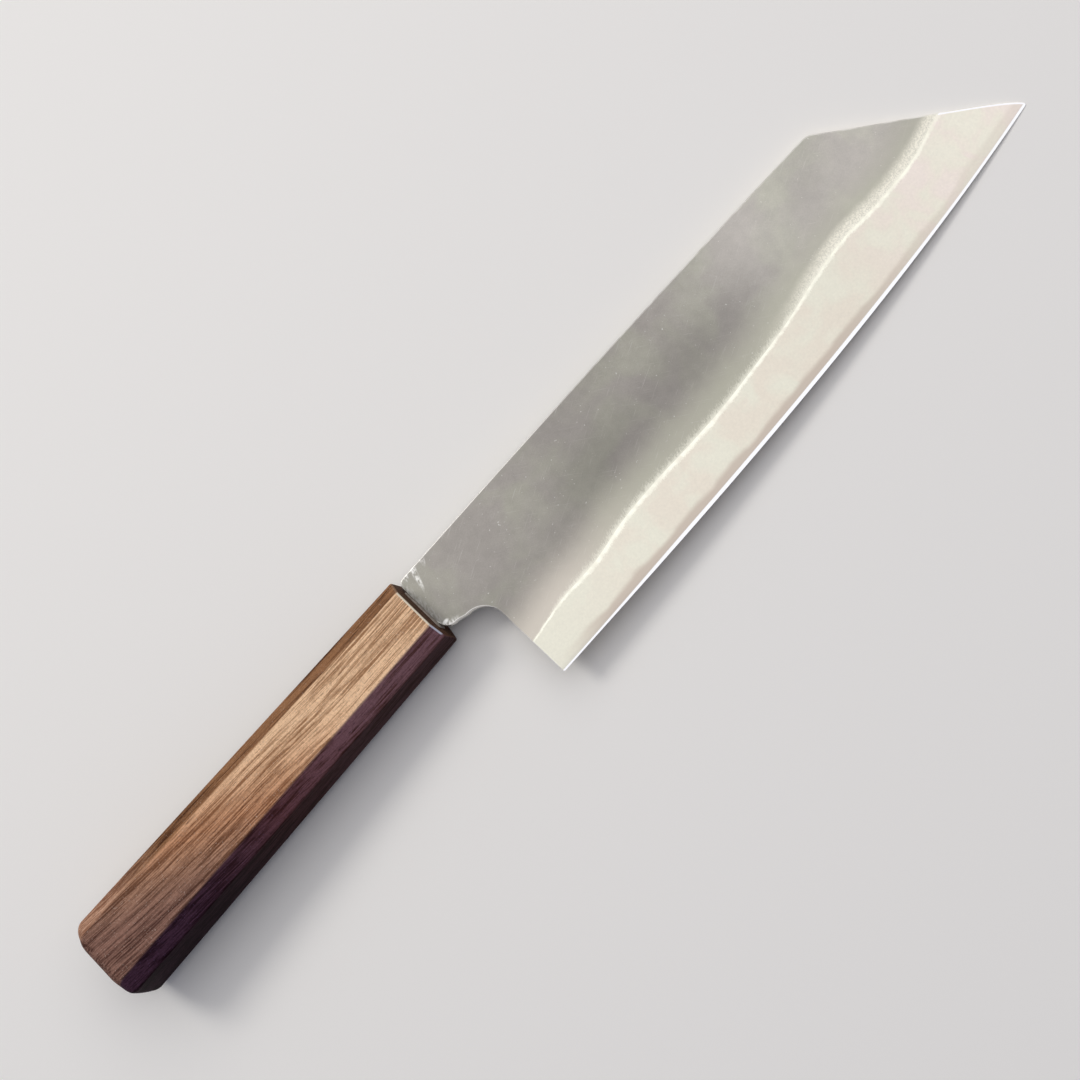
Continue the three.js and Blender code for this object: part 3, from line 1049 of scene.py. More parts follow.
    def bar(self) -> Surface:
        """Skin of the handle: from the bottom of the slot out, over the front face and on to the butt.

        Returns:
            The skin, with a mark for the front's end grain and the distances past the ridges on the spine's
            and on the edge's side kept at each point.
        """
        x, inset, section_x = self.stations()
        share = -section_x / self.length
        half_height = mixed(self.front_height, self.butt_height, share) / 2
        half_width = mixed(self.front_width, self.butt_width, share) / 2
        softening = np.where(x < -self.length / 2, inset / self.butt_round, 0.0)
        ridge = mixed(self.ridge_radius, self.butt_ridge_radius, np.sqrt(softening))
        flat = self.octagons(half_height, half_width, ridge)
        down = np.clip(-flat[..., 0] / half_height[:, None], 0.0, 1.0)
        aside = np.clip(flat[..., 1] / half_width[:, None], -1.0, 1.0)
        places, inset = self.tighten(x, inset, down**2 * (1 - aside**2))
        scale = np.stack([1 - inset / half_height[:, None], 1 - inset / half_width[:, None]], axis=2)
        flat = flat * scale
        outer = np.concatenate([places[..., None], flat], axis=2)

        inward = np.linspace(1.0, 0.0, self.dome_rings + 1)[1:, None, None]
        dome_x = -self.length + self.butt_dome * inward**2
        dome_x = np.broadcast_to(dome_x, (self.dome_rings, flat.shape[1], 1))
        dome = np.concatenate([dome_x, inward * flat[-1][None]], axis=2)

        mouth = self.slot_ring(flat[0], np.array(0.0), self.bedding)
        face_share = np.linspace(1.0, 0.0, self.face_rings + 1)[:-1, None, None]
        face = mixed(outer[0][None], mouth[None], face_share)
        depths = -np.array([self.tang.tang_length + self.bedding, *self.slot_depths])
        shaft = np.stack([self.slot_ring(flat[0], np.array(depth), self.bedding) for depth in depths])
        rings = np.concatenate([shaft, face, outer, dome])
        end_grain = np.zeros(rings.shape[:2])
        end_grain[: len(shaft) + len(face) + 1] = 1.0
        height = mixed(self.front_height, self.butt_height, -rings[..., 0] / self.length)
        ridge_y = height / 2 - self.facet_height
        values = {
            "end_grain": end_grain,
            "past_spine_ridge": rings[..., 1] - ridge_y,
            "past_edge_ridge": -rings[..., 1] - ridge_y,
        }
        return Surface(rings, values)

    def tighten(self, x: Array, inset: Array, low: Array) -> tuple[Array, Array]:
        """Round the butt less along the edge facet than elsewhere.

        With q the share of the full radius r at a point, its rounding is shrunk towards the end face by q,
        and the body in front of it is drawn out to meet it.

        Args:
            x: Places of the rings.
            inset: Insets of the rings.
            low: Share of the edge facet's own radius at each point, rings by points.

        Returns:
            Places and insets, rings by points.
        """
        share = mixed(1.0, self.butt_edge_round / self.butt_round, low)
        end = -self.length + self.butt_dome
        rim = end + self.butt_round
        start = -self.body_start
        place = np.broadcast_to(x[:, None], share.shape)
        drawn = start + (place - start) * (end + share * self.butt_round - start) / (rim - start)
        turned = end + (place - end) * share
        place = np.where(place > start, place, np.where(place < rim, turned, drawn))
        return place, inset[:, None] * np.where(x[:, None] < rim, share, 1.0)

    def slot_ring(self, directions: Array, x: Array, grow: float) -> Array:
        """Ring of the tang's slot: where rays towards a ring's points meet the slot's rectangle.

        Args:
            directions: Points of the ring that the rays go through, by y and z.
            x: Place of the slot's section.
            grow: Room on every side of the tang.

        Returns:
            Ring points by 3.
        """
        half_height = float(self.tang.tang_half_height(x)) + grow
        half_width = float(self.tang.tang_half_width(x)) + grow
        reach = np.max(np.abs(directions) / np.array([half_height, half_width]), axis=1)
        flat = directions / reach[:, None]
        return np.concatenate([np.full((len(flat), 1), float(x)), flat], axis=1)

    def seal(self) -> Surface:
        """Bead of sealing resin: a low rounded profile carried round the mouth of the slot.

        The path is a rounded rectangle, and the profile runs over the bead from its outer foot to the tang
        and back under it. Its crown rises and falls by a slow sine, as a bead drawn by hand does.

        Returns:
            The skin, as rings across the bead, carried round.
        """
        turn = np.linspace(0.0, 2 * math.pi, self.seal_rings)
        half_height = float(self.tang.tang_half_height(np.array(0.0)))
        half_width = float(self.tang.tang_half_width(np.array(0.0)))
        foot = self.bedding + self.seal_overlap
        grow = self.seat_gap + np.array(self.seal_reaches) * (foot - self.seat_gap)
        wave = np.sin(self.seal_waves * turn + self.seal_wave_start)
        swell = 1.0 - self.seal_swell * (1 + wave) * 0.5
        height = self.seat_gap + np.array(self.seal_heights)[None, :] * self.seal_thickness * swell[:, None]
        cos, sin = np.cos(turn), np.sin(turn)
        round_y = np.sign(cos) * np.abs(cos) ** self.seal_roundness
        round_z = np.sign(sin) * np.abs(sin) ** self.seal_roundness
        y = round_y[:, None] * (half_height + grow[None, :])
        z = round_z[:, None] * (half_width + grow[None, :])
        rings = np.stack([height, y, z], axis=2)
        return Surface(rings)


@dataclass(frozen=True)
class Ramp:
    """Change of a value: it goes from low to high while another goes from start to end."""

    start: float
    end: float
    low: float = 0.0
    high: float = 1.0
    smooth: bool = True

    def over(self, value: Socket) -> Setup:
        """Settings and inputs that carry the other value over the ramp."""
        style = {"interpolation_type": "SMOOTHSTEP" if self.smooth else "LINEAR"}
        reach = {"From Min": self.start, "From Max": self.end, "To Min": self.low, "To Max": self.high}
        return style, {"Value": value, **reach}


@dataclass(frozen=True)
class Pattern:
    """Uneven pattern with patches of a size in millimetres, and a seed where it differs from the plain one.

    Detail counts the finer patterns laid over it, roughness is the strength of each of them against the
    one before, and distortion is how far it is stirred.
    """

    size: float
    seed: float | None
    detail: float
    roughness: float = 0.5
    distortion: float = 0.0

    def over(self, place: Socket) -> Setup:
        """Settings and inputs that lay the pattern over coordinates in millimetres."""
        kind = {"noise_dimensions": "3D" if self.seed is None else "4D"}
        seed = {} if self.seed is None else {"W": self.seed}
        shape = {"Detail": self.detail, "Roughness": self.roughness, "Distortion": self.distortion}
        return kind, {"Vector": place, "Scale": 1 / self.size, **seed, **shape}


@dataclass(frozen=True)
class Streaks:
    """Pattern drawn out into streaks, with their sizes in millimetres and a turn about z in degrees.

    The fill's unit of size is one streak.
    """

    sizes: Triple
    fill: Pattern
    turn: float = 0.0

    def drawn(self, place: Socket) -> Setup:
        """Settings and inputs that turn coordinates in millimetres into lengths and widths of a streak."""
        inputs = {"Vector": place, "Rotation": (0.0, 0.0, math.radians(self.turn)), "Scale": self.sizes}
        return {"vector_type": "TEXTURE"}, inputs


@dataclass(frozen=True)
class LineKinks:
    """Small kinks of the layer line, which core and cladding share, with their height in millimetres."""

    pattern: Pattern = Pattern(2.2, 14.2, 4.0, 0.6)
    height: float = 1.1

    def above_line(self, add: Adder, place: Socket) -> Socket:
        """Height above the kinked line in millimetres: the piece's own height and half the kinks each way.

        Args:
            add: What adds a node to the tree.
            place: Coordinates in millimetres.

        Returns:
            The height.
        """
        level = add("Attribute", {"attribute_name": "above_line"}, {}, "Fac")
        kinks = add("TexNoise", *self.pattern.over(place))
        kinks = add("Math", TIMES_PLUS, {0: kinks, 1: self.height, 2: -self.height / 2})
        return add("Math", PLUS, {0: level, 1: kinks})


@dataclass(frozen=True)
class Finish:
    """Named finish that is laid on in the knife's axes. Sizes are in millimetres."""

    rest: RestFrame
    name: str

    @cached_property
    def made(self) -> Material:
        """The material."""
        made = bpy.data.materials.new(self.name)
        made.use_nodes = True
        return made

    @cached_property
    def ground(self) -> tuple[Adder, Socket, Socket]:
        """What adds a node, the coordinates in millimetres, and the place along the knife."""
        add = partial(add_node, self.made.node_tree)
        place = self.rest.knife_coordinates(self.made.node_tree)
        return add, place, add("SeparateXYZ", {}, {0: place})

    def faded(self, share: Socket, *ramps: tuple[Ramp, Socket]) -> Socket:
        """A share times one ramp after another.

        Args:
            share: The share.
            ramps: Each ramp, and the value that it runs over.

        Returns:
            The product.
        """
        add, _, _ = self.ground
        for ramp, value in ramps:
            reach = add("MapRange", *ramp.over(value))
            share = add("Math", TIMES, {0: share, 1: reach})
        return share

    def laid(self, inputs: Inputs) -> Material:
        """The material, with its shader's inputs set or linked."""
        feed(self.made.node_tree.nodes["Principled BSDF"], inputs)
        return self.made


@dataclass(frozen=True)
class CladdingFinish(Finish):
    """Soft iron cladding, ground flat and rubbed with a natural stone.

    Soft iron takes a clouded grey from the stone's mud, in patches a thumb wide, with a fine grain and
    stray scratches. Over the last few millimetres, where it thins out on the core, the stone raises short
    hairs that catch the light, and bare arrises are rubbed bright. A ramp named for heel, tip,
    clip or grip runs along the knife, unless its comment says otherwise.
    """

    name: str = "stone_rubbed_soft_iron"
    grey: str = "#99958f"
    pale: str = "#bab6af"
    cool_tint: str = "#fbf8f5"
    warm_tint: str = "#fafbf1"
    sand: str = "#d3cabb"
    silt: str = "#b2af9e"
    dust: str = "#f2ecda"
    hair: str = "#fbf7e4"
    rubbed: str = "#efece4"
    roughness: float = 0.4

    # Clouds: patterns, and how far each of them changes the shade.
    cloud: Pattern = Pattern(15.0, 0.4, 3.0, distortion=0.6)
    drift: Pattern = Pattern(36.0, 5.2, 1.0)
    mottle: Pattern = Pattern(2.4, 9.1, 2.0)
    # Grit scratches are some 0.02 mm wide. They are drawn at 0.3 mm, so that they show as a grain.
    grain: Pattern = Pattern(0.3, 2.7, 2.0)
    # Paler towards the tip: a painted brighter reflection.
    tip_reflection_paling: Ramp = Ramp(84.0, 122.0)
    tint_patch: Ramp = Ramp(0.38, 0.62)
    cloud_shade: Ramp = Ramp(0.35, 0.65, 0.95, 1.05)
    drift_shade: Ramp = Ramp(0.36, 0.64, 0.93, 1.07)
    mottle_shade: Ramp = Ramp(0.3, 0.7, 0.955, 1.045, smooth=False)
    grain_shade: Ramp = Ramp(0.3, 0.7, 0.95, 1.05, smooth=False)

    # A long darker patch in the middle of the blade.
    dark_patch_y: float = -9.0
    dark_patch_across: Ramp = Ramp(12.0, 0.5)
    dark_patch_heel: Ramp = Ramp(30.0, 58.0)
    dark_patch_tip: Ramp = Ramp(136.0, 102.0)
    dark_patch_shade: Ramp = Ramp(0.0, 1.0, 1.0, 0.81, smooth=False)

    # Fringe above the layer line: a glow, a dusty band towards the tip, and hairs.
    glow_heel: Ramp = Ramp(64.0, 22.0)
    glow_rise: Ramp = Ramp(0.5, 12.0, 0.85, 0.0)
    dust_grain: Pattern = Pattern(0.34, 7.7, 3.0, 0.7)
    dust_patch: Ramp = Ramp(0.4, 0.6, 0.5, 1.0)
    dust_tip: Ramp = Ramp(96.0, 136.0)
    dust_rise: Ramp = Ramp(1.2, 4.0, 0.95, 0.0)
    strand: Streaks = Streaks((0.8, 0.22, 1.0), Pattern(1.0, 3.3, 4.0, 0.6, 1.2), 64.0)
    strand_length: Ramp = Ramp(0.36, 0.64, 0.12, 1.0, smooth=False)
    strand_heel: Ramp = Ramp(15.0, 36.0, 0.4, 2.3)
    strand_tip: Ramp = Ramp(112.0, 140.0, 1.0, 0.45)
    strand_fade: Ramp = Ramp(-0.45, 1.35, 0.74, 0.0)

    # Rubbed arrises: the first and the last two ramps run in from the outline.
    arris_rise: Ramp = Ramp(0.15, 0.45, 0.8, 0.0)
    arris_breaks: Pattern = Pattern(3.5, 1.9, 4.0)
    arris_patch: Ramp = Ramp(0.35, 0.7, 0.12, 0.75, smooth=False)
    arris_clip: Ramp = Ramp(140.0, 150.0, 1.0, 1.6)
    arris_grip: Ramp = Ramp(85.0, 45.0, 0.0, 0.75)
    lower_arris_rise: Ramp = Ramp(0.16, 0.46, 0.85, 0.0)
    foot_rise: Ramp = Ramp(1.8, 0.3)

    # Scuffs at the handle's end. Each has its place on the spine, its reach down the face and its strength.
    scuffs: tuple[Triple, ...] = ((5.7, 7.6, 0.95), (9.0, 2.6, 0.6), (3.2, 2.0, 0.7))
    scuff_lean: float = 0.3
    scuff_top_width: float = 1.2
    scuff_end_width: float = 0.45
    scuff_soft: float = 0.3
    collar_grip: Ramp = Ramp(2.6, 0.7, 0.0, 0.35)
    foot_grip: Ramp = Ramp(6.0, 2.5)
    crumbs: Streaks = Streaks((1.3, 0.45, 1.0), Pattern(1.0, 6.1, 4.0, 0.6), 66.0)
    crumb_patch: Ramp = Ramp(0.38, 0.62)
    # A rubbed spot at the bead's foot, round where coordinates times squeeze plus shift are nought.
    spot_squeeze: Triple = (0.7, 1.4, 0.0)
    spot_shift: Triple = (-1.3, 8.5, 0.0)
    spot_rim: Ramp = Ramp(0.95, 0.35)

    # Stray scratches in two directions, and specks.
    scratches: tuple[tuple[Streaks, Ramp], ...] = (
        (Streaks((5.0, 0.16, 5.0), Pattern(1.0, 4.4, 1.0), 24.0), Ramp(0.66, 0.78, 0.0, 0.14)),
        (Streaks((5.0, 0.16, 5.0), Pattern(1.0, 11.6, 1.0), -38.0), Ramp(0.66, 0.78, 0.0, 0.1)),
    )
    specks: Pattern = Pattern(0.55, 12.9, 1.0)
    speck_patch: Ramp = Ramp(0.72, 0.8, 0.0, 0.42)

    def material(self) -> Material:
        """Lay the finish on: clouds, fringe, and all that is rubbed bright.

        Returns:
            The material.
        """
        add, _, _ = self.ground
        colour = self.fringe(self.clouds())
        for share in (self.arrises(), self.scuffing(), self.marks()):
            colour = add("Mix", BLEND, {0: share, 6: colour, 7: linear(self.rubbed)}, 2)
        return self.laid({"Base Color": colour, "Metallic": 1.0, "Roughness": self.roughness})

    def clouds(self) -> Socket:
        """Clouded grey: a tone that pales towards the tip as a painted brighter reflection, times slow
        tints, mottling and grain.

        Returns:
            The colour.
        """
        add, place, along = self.ground
        cloud = add("TexNoise", *self.cloud.over(place))
        drift = add("TexNoise", *self.drift.over(place))
        mottle = add("TexNoise", *self.mottle.over(place))
        grain = add("TexNoise", *self.grain.over(place))
        to_tip = add("MapRange", *self.tip_reflection_paling.over(along))
        colour = add("Mix", BLEND, {0: to_tip, 6: linear(self.grey), 7: linear(self.pale)}, 2)
        patch = add("MapRange", *self.tint_patch.over(cloud))
        tint = add("Mix", BLEND, {0: patch, 6: linear(self.cool_tint), 7: linear(self.warm_tint)}, 2)
        colour = add("Mix", TINT, {0: 1.0, 6: colour, 7: tint}, 2)

        off = add("Math", PLUS, {0: along.node.outputs["Y"], 1: -self.dark_patch_y})
        off = add("Math", ABSOLUTE, {0: off})
        dark_patch = add("MapRange", *self.dark_patch_across.over(off))
        dark_patch = self.faded(dark_patch, (self.dark_patch_heel, along), (self.dark_patch_tip, along))

        shade = add("MapRange", *self.cloud_shade.over(cloud))
        finer = ((self.drift_shade, drift), (self.mottle_shade, mottle), (self.grain_shade, grain))
        shade = self.faded(shade, *finer, (self.dark_patch_shade, dark_patch))
        return add("VectorMath", SCALED, {"Vector": colour, "Scale": shade})

    def fringe(self, colour: Socket) -> Socket:
        """Hairy fringe along the layer line, with a glow above it and a dusty band towards the tip.

        A hair ends where the height above the line reaches its own length, which a stretched noise gives.

        Args:
            colour: Colour without the fringe.

        Returns:
            The colour with it.
        """
        add, place, along = self.ground
        height = LineKinks().above_line(add, place)

        heel = add("MapRange", *self.glow_heel.over(along))
        glow = add("MapRange", *self.glow_rise.over(height))
        haze = add("Mix", BLEND, {0: heel, 6: linear(self.silt), 7: linear(self.sand)}, 2)
        colour = add("Mix", BLEND, {0: glow, 6: colour, 7: haze}, 2)

        grains = add("TexNoise", *self.dust_grain.over(place))
        band = add("MapRange", *self.dust_rise.over(height))
        band = self.faded(band, (self.dust_tip, along), (self.dust_patch, grains))
        colour = add("Mix", BLEND, {0: band, 6: colour, 7: linear(self.dust)}, 2)

        strand = add("Mapping", *self.strand.drawn(place))
        strand = add("TexNoise", *self.strand.fill.over(strand))
        strand = add("MapRange", *self.strand_length.over(strand))
        reach = add("MapRange", *self.strand_heel.over(along))
        reach = self.faded(reach, (self.strand_tip, along))
        length = add("Math", TIMES, {0: strand, 1: reach})
        share = add("Math", OVER, {0: height, 1: length})
        hairs = add("MapRange", *self.strand_fade.over(share))
        return add("Mix", BLEND, {0: hairs, 6: colour, 7: linear(self.hair)}, 2)

    def arrises(self) -> Socket:
        """Bright arrises: broken along the spine, whole at the grip, the clip and the lower outline.

        Returns:
            Their share.
        """
        add, place, along = self.ground
        to_spine = add("Attribute", {"attribute_name": "to_spine"}, {}, "Fac")
        to_heel = add("Attribute", {"attribute_name": "to_heel"}, {}, "Fac")
        broken = add("TexNoise", *self.arris_breaks.over(place))
        spine = add("MapRange", *self.arris_patch.over(broken))
        spine = self.faded(spine, (self.arris_clip, along))
        grip = add("MapRange", *self.arris_grip.over(along))
        spine = add("Math", EITHER, {0: spine, 1: grip})
        upper = add("MapRange", *self.arris_rise.over(to_spine))
        upper = add("Math", TIMES, {0: upper, 1: spine})
        lower = add("MapRange", *self.lower_arris_rise.over(to_heel))
        return add("Math", EITHER, {0: upper, 1: lower})

    def scuffing(self) -> Socket:
        """Scuffs at the handle's end: leaning wedges from the spine, a collar, the neck's foot and a spot.

        A wedge is bright where the distance from its middle line is less than its half width there.

        Returns:
            Their share.
        """
        add, place, along = self.ground
        to_spine = add("Attribute", {"attribute_name": "to_spine"}, {}, "Fac")
        to_heel = add("Attribute", {"attribute_name": "to_heel"}, {}, "Fac")
        lean = add("Math", TIMES_PLUS, {0: to_spine, 1: self.scuff_lean, 2: along})
        scuff = add("MapRange", *self.collar_grip.over(along))
        for middle, reach, strength in self.scuffs:
            off = add("Math", MINUS, {0: lean, 1: middle})
            off = add("Math", ABSOLUTE, {0: off})
            taper = Ramp(0.0, reach, self.scuff_top_width, self.scuff_end_width, smooth=False)
            width = add("MapRange", *taper.over(to_spine))
            off = add("Math", OVER, {0: off, 1: width})
            near = add("MapRange", *Ramp(1.0, self.scuff_soft, 0.0, strength).over(off))
            near = self.faded(near, (Ramp(reach, self.scuff_soft * reach), to_spine))
            scuff = add("Math", EITHER, {0: scuff, 1: near})
        foot = add("MapRange", *self.foot_grip.over(along))
        foot = self.faded(foot, (self.foot_rise, to_heel))
        scuff = add("Math", EITHER, {0: scuff, 1: foot})
        crumbs = add("Mapping", *self.crumbs.drawn(place))
        crumbs = add("TexNoise", *self.crumbs.fill.over(crumbs))
        scuff = self.faded(scuff, (self.crumb_patch, crumbs))
        spot = add("VectorMath", TIMES_PLUS, {0: place, 1: self.spot_squeeze, 2: self.spot_shift})
        spot = add("VectorMath", LENGTH, {0: spot}, "Value")
        spot = add("MapRange", *self.spot_rim.over(spot))
        return add("Math", EITHER, {0: scuff, 1: spot})

    def marks(self) -> Socket:
        """Stray scratches and specks.

        Returns:
            Their share.
        """
        add, place, _ = self.ground
        specks = add("TexNoise", *self.specks.over(place))
        marks = add("MapRange", *self.speck_patch.over(specks))
        for streaks, ramp in self.scratches:
            line = add("Mapping", *streaks.drawn(place))
            line = add("TexNoise", *streaks.fill.over(line))
            line = add("MapRange", *ramp.over(line))
            marks = add("Math", EITHER, {0: marks, 1: line})
        return marks


@dataclass(frozen=True)
class CoreFinish(Finish):
    """Hard core steel, rubbed to a pale mist with a natural stone and sharpened to a bright bevel.

    The hard steel takes an even, pale haze. A browner band lies just above the bevel, and the bevel
    itself and the rubbed arrises of heel and clip are nearly white. A ramp named for heel, tip or end
    runs along the knife, and a rise runs up from the edge.
    """

    name: str = "misted_core_steel"
    mist: str = "#dfd6c5"
    green_mist: str = "#e0dcca"
    pink_mist: str = "#e3d7cd"
    band: str = "#c2b4a5"
    line: str = "#fcf9e6"
    bevel: str = "#fdfcfa"
    roughness: float = 0.4
    polish: float = 0.22

    # Haze: greener at the heel, pinker at the tip, and paler there, partly as a painted brighter reflection.
    cloud: Pattern = Pattern(8.0, 1.2, 3.0, distortion=0.5)
    green_patch: Ramp = Ramp(0.4, 0.64)
    green_heel: Ramp = Ramp(60.0, 14.0)
    pink_patch: Ramp = Ramp(0.58, 0.4, 0.15, 0.85)
    pink_tip: Ramp = Ramp(120.0, 165.0)
    grain: Pattern = Pattern(0.6, 4.1, 3.0)
    grain_shade: Ramp = Ramp(0.3, 0.7, 0.965, 1.03, smooth=False)
    # Brighter towards the tip: a painted reflection.
    pale_tip_reflection: Ramp = Ramp(125.0, 178.0, 1.0, 1.09, smooth=False)

    # Band above the bevel. Its top wanders, and it fades at shares of that height.
    band_wander: Pattern = Pattern(11.0, 6.6, 3.0)
    band_top: Ramp = Ramp(0.3, 0.7, 2.4, 3.8, smooth=False)
    band_rise: Ramp = Ramp(0.62, 1.12, 0.9, 0.0)
    band_heel: Ramp = Ramp(11.0, 34.0)
    band_tip: Ramp = Ramp(105.0, 165.0, 1.0, 0.3)

    # Bright line below the layer line, with a toothed lower side that fades at shares of its depth.
    teeth: Pattern = Pattern(0.36, 2.2, 3.0)
    tooth_depth: Ramp = Ramp(0.3, 0.7, 0.68, 1.2, smooth=False)
    line_heel: Ramp = Ramp(18.0, 40.0, 0.45, 1.18)
    line_tip: Ramp = Ramp(72.0, 100.0, 1.0, 0.7)
    line_rise: Ramp = Ramp(-1.4, -0.45)
    line_breaks: Pattern = Pattern(1.6, 5.5, 3.0)
    line_patch: Ramp = Ramp(0.35, 0.6, 0.55, 1.0)
    line_end: Ramp = Ramp(158.0, 170.0, 1.0, 0.45)

    # Polished width of the bevel: 0.45 at the heel, 0.9 along the edge and two thirds of that at the tip.
    bevel_heel: Ramp = Ramp(18.0, 62.0, 0.45, 0.9)
    bevel_tip: Ramp = Ramp(115.0, 165.0, 1.0, 2 / 3)
    bevel_rim: Ramp = Ramp(0.12, -0.12)
    # Rubbed arrises, in from the outline of clip and heel.
    clip_arris: Ramp = Ramp(0.65, 0.35, 0.0, 0.95)
    heel_arris: Ramp = Ramp(0.5, 0.2, 0.0, 0.8)

    def material(self) -> Material:
        """Lay the finish on: haze, band, bright line and polish.

        Returns:
            The material.
        """
        add, _, _ = self.ground
        colour = self.haze()
        bright = self.polished()
        lines = ((self.edge_band(), self.band), (self.bright_line(), self.line), (bright, self.bevel))
        for share, tint in lines:
            colour = add("Mix", BLEND, {0: share, 6: colour, 7: linear(tint)}, 2)
        gloss = add("MapRange", *Ramp(0.0, 1.0, self.roughness, self.polish, smooth=False).over(bright))
        return self.laid({"Base Color": colour, "Metallic": 1.0, "Roughness": gloss})

    def haze(self) -> Socket:
        """Pale haze: greener at the heel, pinker at the tip, slightly mottled, and brighter towards the tip
        as a painted reflection.

        Returns:
            The colour.
        """
        add, place, along = self.ground
        cloud = add("TexNoise", *self.cloud.over(place))
        patch = add("MapRange", *self.green_patch.over(cloud))
        heel = add("MapRange", *self.green_heel.over(along))
        green = add("Math", EITHER, {0: patch, 1: heel})
        colour = add("Mix", BLEND, {0: green, 6: linear(self.mist), 7: linear(self.green_mist)}, 2)
        flush = add("MapRange", *self.pink_patch.over(cloud))
        flush = self.faded(flush, (self.pink_tip, along))
        colour = add("Mix", BLEND, {0: flush, 6: colour, 7: linear(self.pink_mist)}, 2)
        grain = add("TexNoise", *self.grain.over(place))
        shade = add("MapRange", *self.grain_shade.over(grain))
        shade = self.faded(shade, (self.pale_tip_reflection, along))
        return add("VectorMath", SCALED, {"Vector": colour, "Scale": shade})

    def edge_band(self) -> Socket:
        """Browner band above the bevel, with a top that wanders.

        Returns:
            Its share.
        """
        add, place, along = self.ground
        edge = add("Attribute", {"attribute_name": "above_edge"}, {}, "Fac")
        wander = add("TexNoise", *self.band_wander.over(place))
        top = add("MapRange", *self.band_top.over(wander))
        share = add("Math", OVER, {0: edge, 1: top})
        band = add("MapRange", *self.band_rise.over(share))
        return self.faded(band, (self.band_heel, along), (self.band_tip, along))

    def bright_line(self) -> Socket:
        """Bright line below the layer line: full at the line, and toothed at its lower side.

        Returns:
            Its share.
        """
        add, place, along = self.ground
        height = LineKinks().above_line(add, place)
        teeth = add("TexNoise", *self.teeth.over(place))
        depth = add("MapRange", *self.tooth_depth.over(teeth))
        swell = add("MapRange", *self.line_heel.over(along))
        swell = self.faded(swell, (self.line_tip, along))
        depth = add("Math", TIMES, {0: depth, 1: swell})
        share = add("Math", OVER, {0: height, 1: depth})
        line = add("MapRange", *self.line_rise.over(share))
        faint = add("TexNoise", *self.line_breaks.over(place))
        return self.faded(line, (self.line_patch, faint), (self.line_end, along))

    def polished(self) -> Socket:
        """Share of polish: on the bevel, and on the arrises of clip and heel.

        Returns:
            The share.
        """
        add, _, along = self.ground
        edge = add("Attribute", {"attribute_name": "above_edge"}, {}, "Fac")
        to_clip = add("Attribute", {"attribute_name": "to_spine"}, {}, "Fac")
        to_heel = add("Attribute", {"attribute_name": "to_heel"}, {}, "Fac")
        width = add("MapRange", *self.bevel_heel.over(along))
        width = self.faded(width, (self.bevel_tip, along))
        above = add("Math", MINUS, {0: edge, 1: width})
        bright = add("MapRange", *self.bevel_rim.over(above))
        for ramp, distance in ((self.clip_arris, to_clip), (self.heel_arris, to_heel)):
            arris = add("MapRange", *ramp.over(distance))
            bright = add("Math", EITHER, {0: bright, 1: arris})
        return bright


